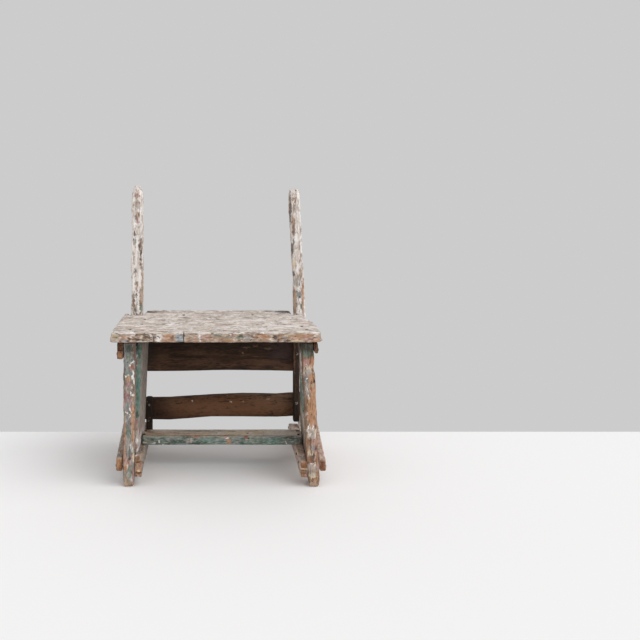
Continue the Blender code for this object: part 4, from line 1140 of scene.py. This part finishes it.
def stretcher_finish(paint, node):
    """Green oil paint on softwood, worn off the top by feet and chipped to the red primer."""
    finish = Finish("green_oil_paint_worn_by_feet", ALONG_X)
    finish.timber(paint.brown, paint.tan, 5)
    top = finish.facing(2, 0.5, 0.2)
    side = finish.sum("SUBTRACT", 1.0, top)
    finish.coat(paint.crust_light, paint.cream, 0.85, 18, (3, 1, 1), soft=0.06)
    finish.patches(paint, TREAD_PATCHES_MM, on_top(node, 24), 0.6, 0.5)
    finish.coat(paint.green, paint.slate, 0.9, 20, (3, 1, 1), where=side)
    finish.coat(paint.deep_green, paint.teal, 0.4, 10, (4, 1, 1), where=side, thickness=0.15)
    finish.patches(paint, STRETCHER_PATCHES_MM, on_front(node, 1, 8))
    finish.mottle(paint.brown, paint.crust_light, 4, 0.25)
    finish.specks(paint.dirt, 14, 0.18, 0.25, 0.7)
    finish.cracks(paint.dirt, 9, 0.01, 0.6)
    finish.grime(HOLLOW_DIRT, 0.7)
    return finish.done(0.6)


class STOOL_OT_rear_apron(bpy.types.Operator):
    """Makes the wide dark board under the back of the seat."""

    bl_idname = "stool.rear_apron"
    bl_label = "Rear apron"

    def execute(self, context):
        make_board(context, "rear_apron", 80)
        return {"FINISHED"}


class STOOL_OT_rear_board(bpy.types.Operator):
    """Makes the narrow wavy board lower down at the back."""

    bl_idname = "stool.rear_board"
    bl_label = "Rear board"

    def execute(self, context):
        make_board(context, "rear_board", 85)
        return {"FINISHED"}


def make_board(context, node, seed):
    """An unpainted board, its grain standing open along it."""
    sizes = context.scene.stool_timber
    reliefs = ((60, 1.0, (2.5, 1, 1)), (3.6, sizes.grain_depth, (18, 1, 1)))
    make_timbers(context, [node], sizes.board_grid, reliefs, seed, board_finish)


# Patches on the boards' fronts, laid out as on the seat's edge. The dirt and dark patches at the rear board's
# left end are painted shade.
BOARD_PATCHES_MM = {
    "rear_apron": {
        "soot_light": [(82, 29, 24, 24), (193, 26, 57, 9), (370, 26, 60, 8)],
        "dirt": [(40, 70, 30, 60), (240, 90, 160, 30)],
        "plum": [(430, 60, 40, 30)],
        "brown": [(322, 68, 12, 2.5), (350, 72, 8, 2.5), (385, 64, 10, 3), (120, 96, 8, 3),
                  (205, 88, 3, 2)],
    },
    "rear_board": {
        # Painted shade darkening the left end
        "dirt": [(22, 30, 60, 60)],
        "brown": [(120, 42, 40, 18), (389, 46, 66, 20), (223, 34, 80, 14), (440, 68, 50, 5),
                  (330, 72, 50, 3), (300, 30, 50, 4)],
        "umber": [(250, 36, 210, 28), (300, 22, 110, 7)],
        # More painted shade at the left end
        "soot_dark": [(58, 34, 56, 50)],
        "crust_light": [(173, 53, 2, 2), (282, 51, 2.4, 2.4)],
        "tan": [(385, 59, 4, 2)],
    },
}


def board_finish(paint, node):
    """Unpainted softwood, brown with smoke and age, its grain open."""
    finish = Finish("smoke_browned_softwood_" + node, ALONG_X)
    finish.timber(paint.soot_dark, paint.soot_light, 6)
    finish.coat(paint.soot_dark, paint.soot_light, 0.4, 40, (3, 1, 1), soft=0.1)
    finish.patches(paint, BOARD_PATCHES_MM[node], on_front(node), 0.7, 0.6)
    finish.specks(paint.tan, 22, 0.1, 0.2, 0.6)
    finish.cracks(BLACK_SPLIT, 9, 0.012, 0.8)
    # Painted shade under the seat, darkening the apron towards its top
    finish.under_seat_shade(BOARD_UNDER_SEAT_SHADE, 0.6, 220)
    finish.grime(BOARD_DIRT, 0.7)
    return finish.done(0.6)


class STOOL_OT_batten_and_cleat(bpy.types.Operator):
    """Makes the upright batten and the short cleat in front of the rear boards."""

    bl_idname = "stool.batten_and_cleat"
    bl_label = "Batten and cleat"

    def execute(self, context):
        sizes = context.scene.stool_timber
        reliefs = ((40, 1.2, (1, 1, 2)), (3.2, sizes.grain_depth, (1, 1, 14)))
        make_timbers(context, ["rear_batten_right", "rear_cleat_left"], sizes.rail_grid, reliefs, 90,
                     batten_finish)
        return {"FINISHED"}


# Pale nail heads and stains on the batten and the cleat, and painted shade over the cleat, laid out as on the
# legs
BATTEN_PATCHES_MM = {
    "rear_batten_right": {
        "crust_light": [(13, 191, 2, 2), (12, 56, 2.4, 2)],
        "soot_light": [(3, 173, 1.6, 60)],
        "dirt": [(8, 60, 10, 50)],
    },
    "rear_cleat_left": {
        "crust_light": [(8, 33, 2.5, 2)],
        # Painted shade: the cleat stands in shadow and is darkened over most of its front
        "dirt": [(8, 70, 14, 60)],
    },
}


def batten_finish(paint, node):
    """The same browned softwood, standing on end."""
    finish = Finish("smoke_browned_batten_" + node, ALONG_Z)
    finish.timber(paint.soot_dark, paint.soot_light, 5)
    finish.coat(paint.dirt, paint.soot_dark, 0.6, 12, (1, 1, 4), soft=0.06)
    finish.patches(paint, BATTEN_PATCHES_MM[node], on_front(node), 0.8, 0.5)
    finish.specks(paint.tan, 20, 0.1, 0.25, 0.6)
    finish.cracks(BLACK_SPLIT, 8, 0.012, 0.8)
    finish.grime(BOARD_DIRT, 0.7)
    return finish.done(0.6)


class STOOL_OT_nails(bpy.types.Operator):
    """Makes the nails: rounded, hammered heads, rusted."""

    bl_idname = "stool.nails"
    bl_label = "Nails"

    def execute(self, context):
        material = nail_finish(context.scene.stool_paint)
        for index, node in enumerate(sorted(name for name in NODES if "_nail_" in name)):
            piece = copy_of_node(node, "hammered_" + node)
            bpy.ops.object.mode_set(mode="EDIT")
            bpy.ops.mesh.select_all(action="SELECT")
            bpy.ops.mesh.tris_convert_to_quads()
            bpy.ops.object.mode_set(mode="OBJECT")
            round_head = piece.modifiers.new("round_head", "SUBSURF")
            round_head.levels = 2
            round_head.render_levels = 2
            apply_modifiers(piece)
            press(piece, 3, 0.35, seed=100 + index)
            hand_over(piece, node, material)
        return {"FINISHED"}


def nail_finish(paint):
    """Wrought iron nail, rusted brown and dabbed over with the paint of its neighbours."""
    finish = Finish("rusted_iron_nail", EVEN)
    finish.timber(IRON, IRON_RUST, 2)
    finish.coat(paint.crust_dark, paint.grey, 0.3, 5, thickness=0.1)
    finish.grime(IRON, 0.6)
    return finish.done(0.5, metallic=0.3)


class STOOL_OT_stage(bpy.types.Operator):
    """Sets the pale floor, the soft light and the camera."""

    bl_idname = "stool.stage"
    bl_label = "Stage"

    def execute(self, context):
        stage = context.scene.stool_stage
        add_floor(stage)
        add_light(context.scene, stage)
        add_camera(context.scene, stage)
        return {"FINISHED"}


# Half the floor's width, and where and how sharply it turns as grey as the surroundings
FLOOR_HALF = 200.0
FLOOR_LINE = 0.271
FLOOR_LINE_HALF_WIDTH = 2 * MM
FLOOR_ROUGHNESS = 0.9

# Where each lamp stands and how many degrees wide its light comes in, and what both point at
LAMPS = {"key": ((1.6, -0.8, 1.8), 60), "fill": ((-1.0, -2.0, 0.9), 120)}
LAMP_AIM = (0, 0, 0.2)

# How far right of the seat's left end the camera stands, how far behind the seat's front edge the fronts
# of the legs lie, and the lens, with its shift as a share of the picture
CAMERA_RIGHT = 302.4 * MM
LEG_FRONTS = 14 * MM
SENSOR_WIDTH = 36
LENS_LENGTH = 42.04
LENS_SHIFT = (0.1416, -0.1816)


def add_floor(stage):
    """A plain matt floor, pale near the stool, and beyond a line as evenly grey as the surroundings."""
    bpy.ops.object.select_all(action="DESELECT")
    bpy.ops.mesh.primitive_plane_add(size=2 * FLOOR_HALF)
    floor = bpy.context.object
    floor.name = "floor"
    material = bpy.data.materials.new("matt_painted_floor")
    material.use_nodes = True
    tree = material.node_tree
    shader = tree.nodes["Principled BSDF"]
    shader.inputs["Roughness"].default_value = FLOOR_ROUGHNESS
    shader.inputs["Specular IOR Level"].default_value = 0.0
    shader.inputs["Emission Strength"].default_value = 1.0
    place = add_node(tree, "ShaderNodeTexCoord").outputs["Object"]
    parts = add_node(tree, "ShaderNodeSeparateXYZ", {0: place})
    beyond = add_node(tree, "ShaderNodeMapRange",
                      {"Value": parts.outputs[1], "From Min": FLOOR_LINE - FLOOR_LINE_HALF_WIDTH,
                       "From Max": FLOOR_LINE + FLOOR_LINE_HALF_WIDTH})
    for socket, near, far in (("Base Color", stage.floor_tone, (0, 0, 0)),
                              ("Emission Color", (0, 0, 0), stage.sky_tone)):
        tone = add_node(tree, "ShaderNodeMix", {0: beyond.outputs[0], 6: (*near, 1), 7: (*far, 1)},
                        data_type="RGBA")
        tree.links.new(tone.outputs[2], shader.inputs[socket])
    floor.data.materials.append(material)


def add_light(scene, stage):
    """Even grey surroundings, a soft light from the front right and a softer one from the left."""
    world = bpy.data.worlds.new("studio")
    world.use_nodes = True
    background = world.node_tree.nodes["Background"]
    background.inputs[0].default_value = (*stage.sky_tone, 1)
    background.inputs[1].default_value = 1.0
    scene.world = world
    for name, (place, spread) in LAMPS.items():
        lamp = bpy.data.lights.new(name, "SUN")
        lamp.energy = getattr(stage, name + "_strength")
        lamp.angle = math.radians(spread)
        holder = bpy.data.objects.new(name, lamp)
        holder.location = place
        holder.rotation_euler = (Vector(LAMP_AIM) - holder.location).to_track_quat("-Z", "Y").to_euler()
        scene.collection.objects.link(holder)
    scene.view_settings.view_transform = "Standard"


def add_camera(scene, stage):
    """A level camera, shifted so that the stool stands left of the middle and low, as framed."""
    low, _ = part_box("seat")
    lens = bpy.data.cameras.new("camera")
    lens.sensor_width = SENSOR_WIDTH
    lens.lens = LENS_LENGTH
    lens.shift_x, lens.shift_y = LENS_SHIFT
    camera = bpy.data.objects.new("camera", lens)
    camera.location = (low[0] + CAMERA_RIGHT, low[1] + LEG_FRONTS - stage.eye_distance, stage.eye_height)
    camera.rotation_euler = (math.pi / 2, 0, 0)
    scene.collection.objects.link(camera)
    scene.camera = camera


class STOOL_PT_panel(bpy.types.Panel):
    """Lists the pieces of the stool."""

    bl_label = "Weathered Work Stool"
    bl_idname = "STOOL_PT_panel"
    bl_space_type = "VIEW_3D"
    bl_region_type = "UI"
    bl_category = "Stool"

    def draw(self, context):
        for operator in OPERATORS:
            self.layout.operator(operator.bl_idname)
        for group in (context.scene.stool_timber, context.scene.stool_paint, context.scene.stool_stage):
            for name in group.bl_rna.properties.keys():
                if name not in ("rna_type", "name"):
                    self.layout.prop(group, name)


OPERATORS = (STOOL_OT_seat, STOOL_OT_front_legs, STOOL_OT_back_posts, STOOL_OT_side_planks,
             STOOL_OT_upper_rails, STOOL_OT_outer_rails, STOOL_OT_inner_rails, STOOL_OT_stretcher,
             STOOL_OT_rear_apron, STOOL_OT_rear_board, STOOL_OT_batten_and_cleat, STOOL_OT_nails,
             STOOL_OT_stage)
SETTINGS = {"stool_timber": TimberSizes, "stool_paint": PaintColours, "stool_stage": StageSettings}


def register():
    for group in SETTINGS.values():
        bpy.utils.register_class(group)
    for name, group in SETTINGS.items():
        setattr(bpy.types.Scene, name, PointerProperty(type=group))
    for operator in OPERATORS:
        bpy.utils.register_class(operator)
    bpy.utils.register_class(STOOL_PT_panel)


def unregister():
    bpy.utils.unregister_class(STOOL_PT_panel)
    for operator in reversed(OPERATORS):
        bpy.utils.unregister_class(operator)
    for name, group in SETTINGS.items():
        delattr(bpy.types.Scene, name)
        bpy.utils.unregister_class(group)


def main():
    register()
    for operator in OPERATORS:
        group, name = operator.bl_idname.split(".")
        getattr(getattr(bpy.ops, group), name)()


if __name__ == "__main__":
    main()
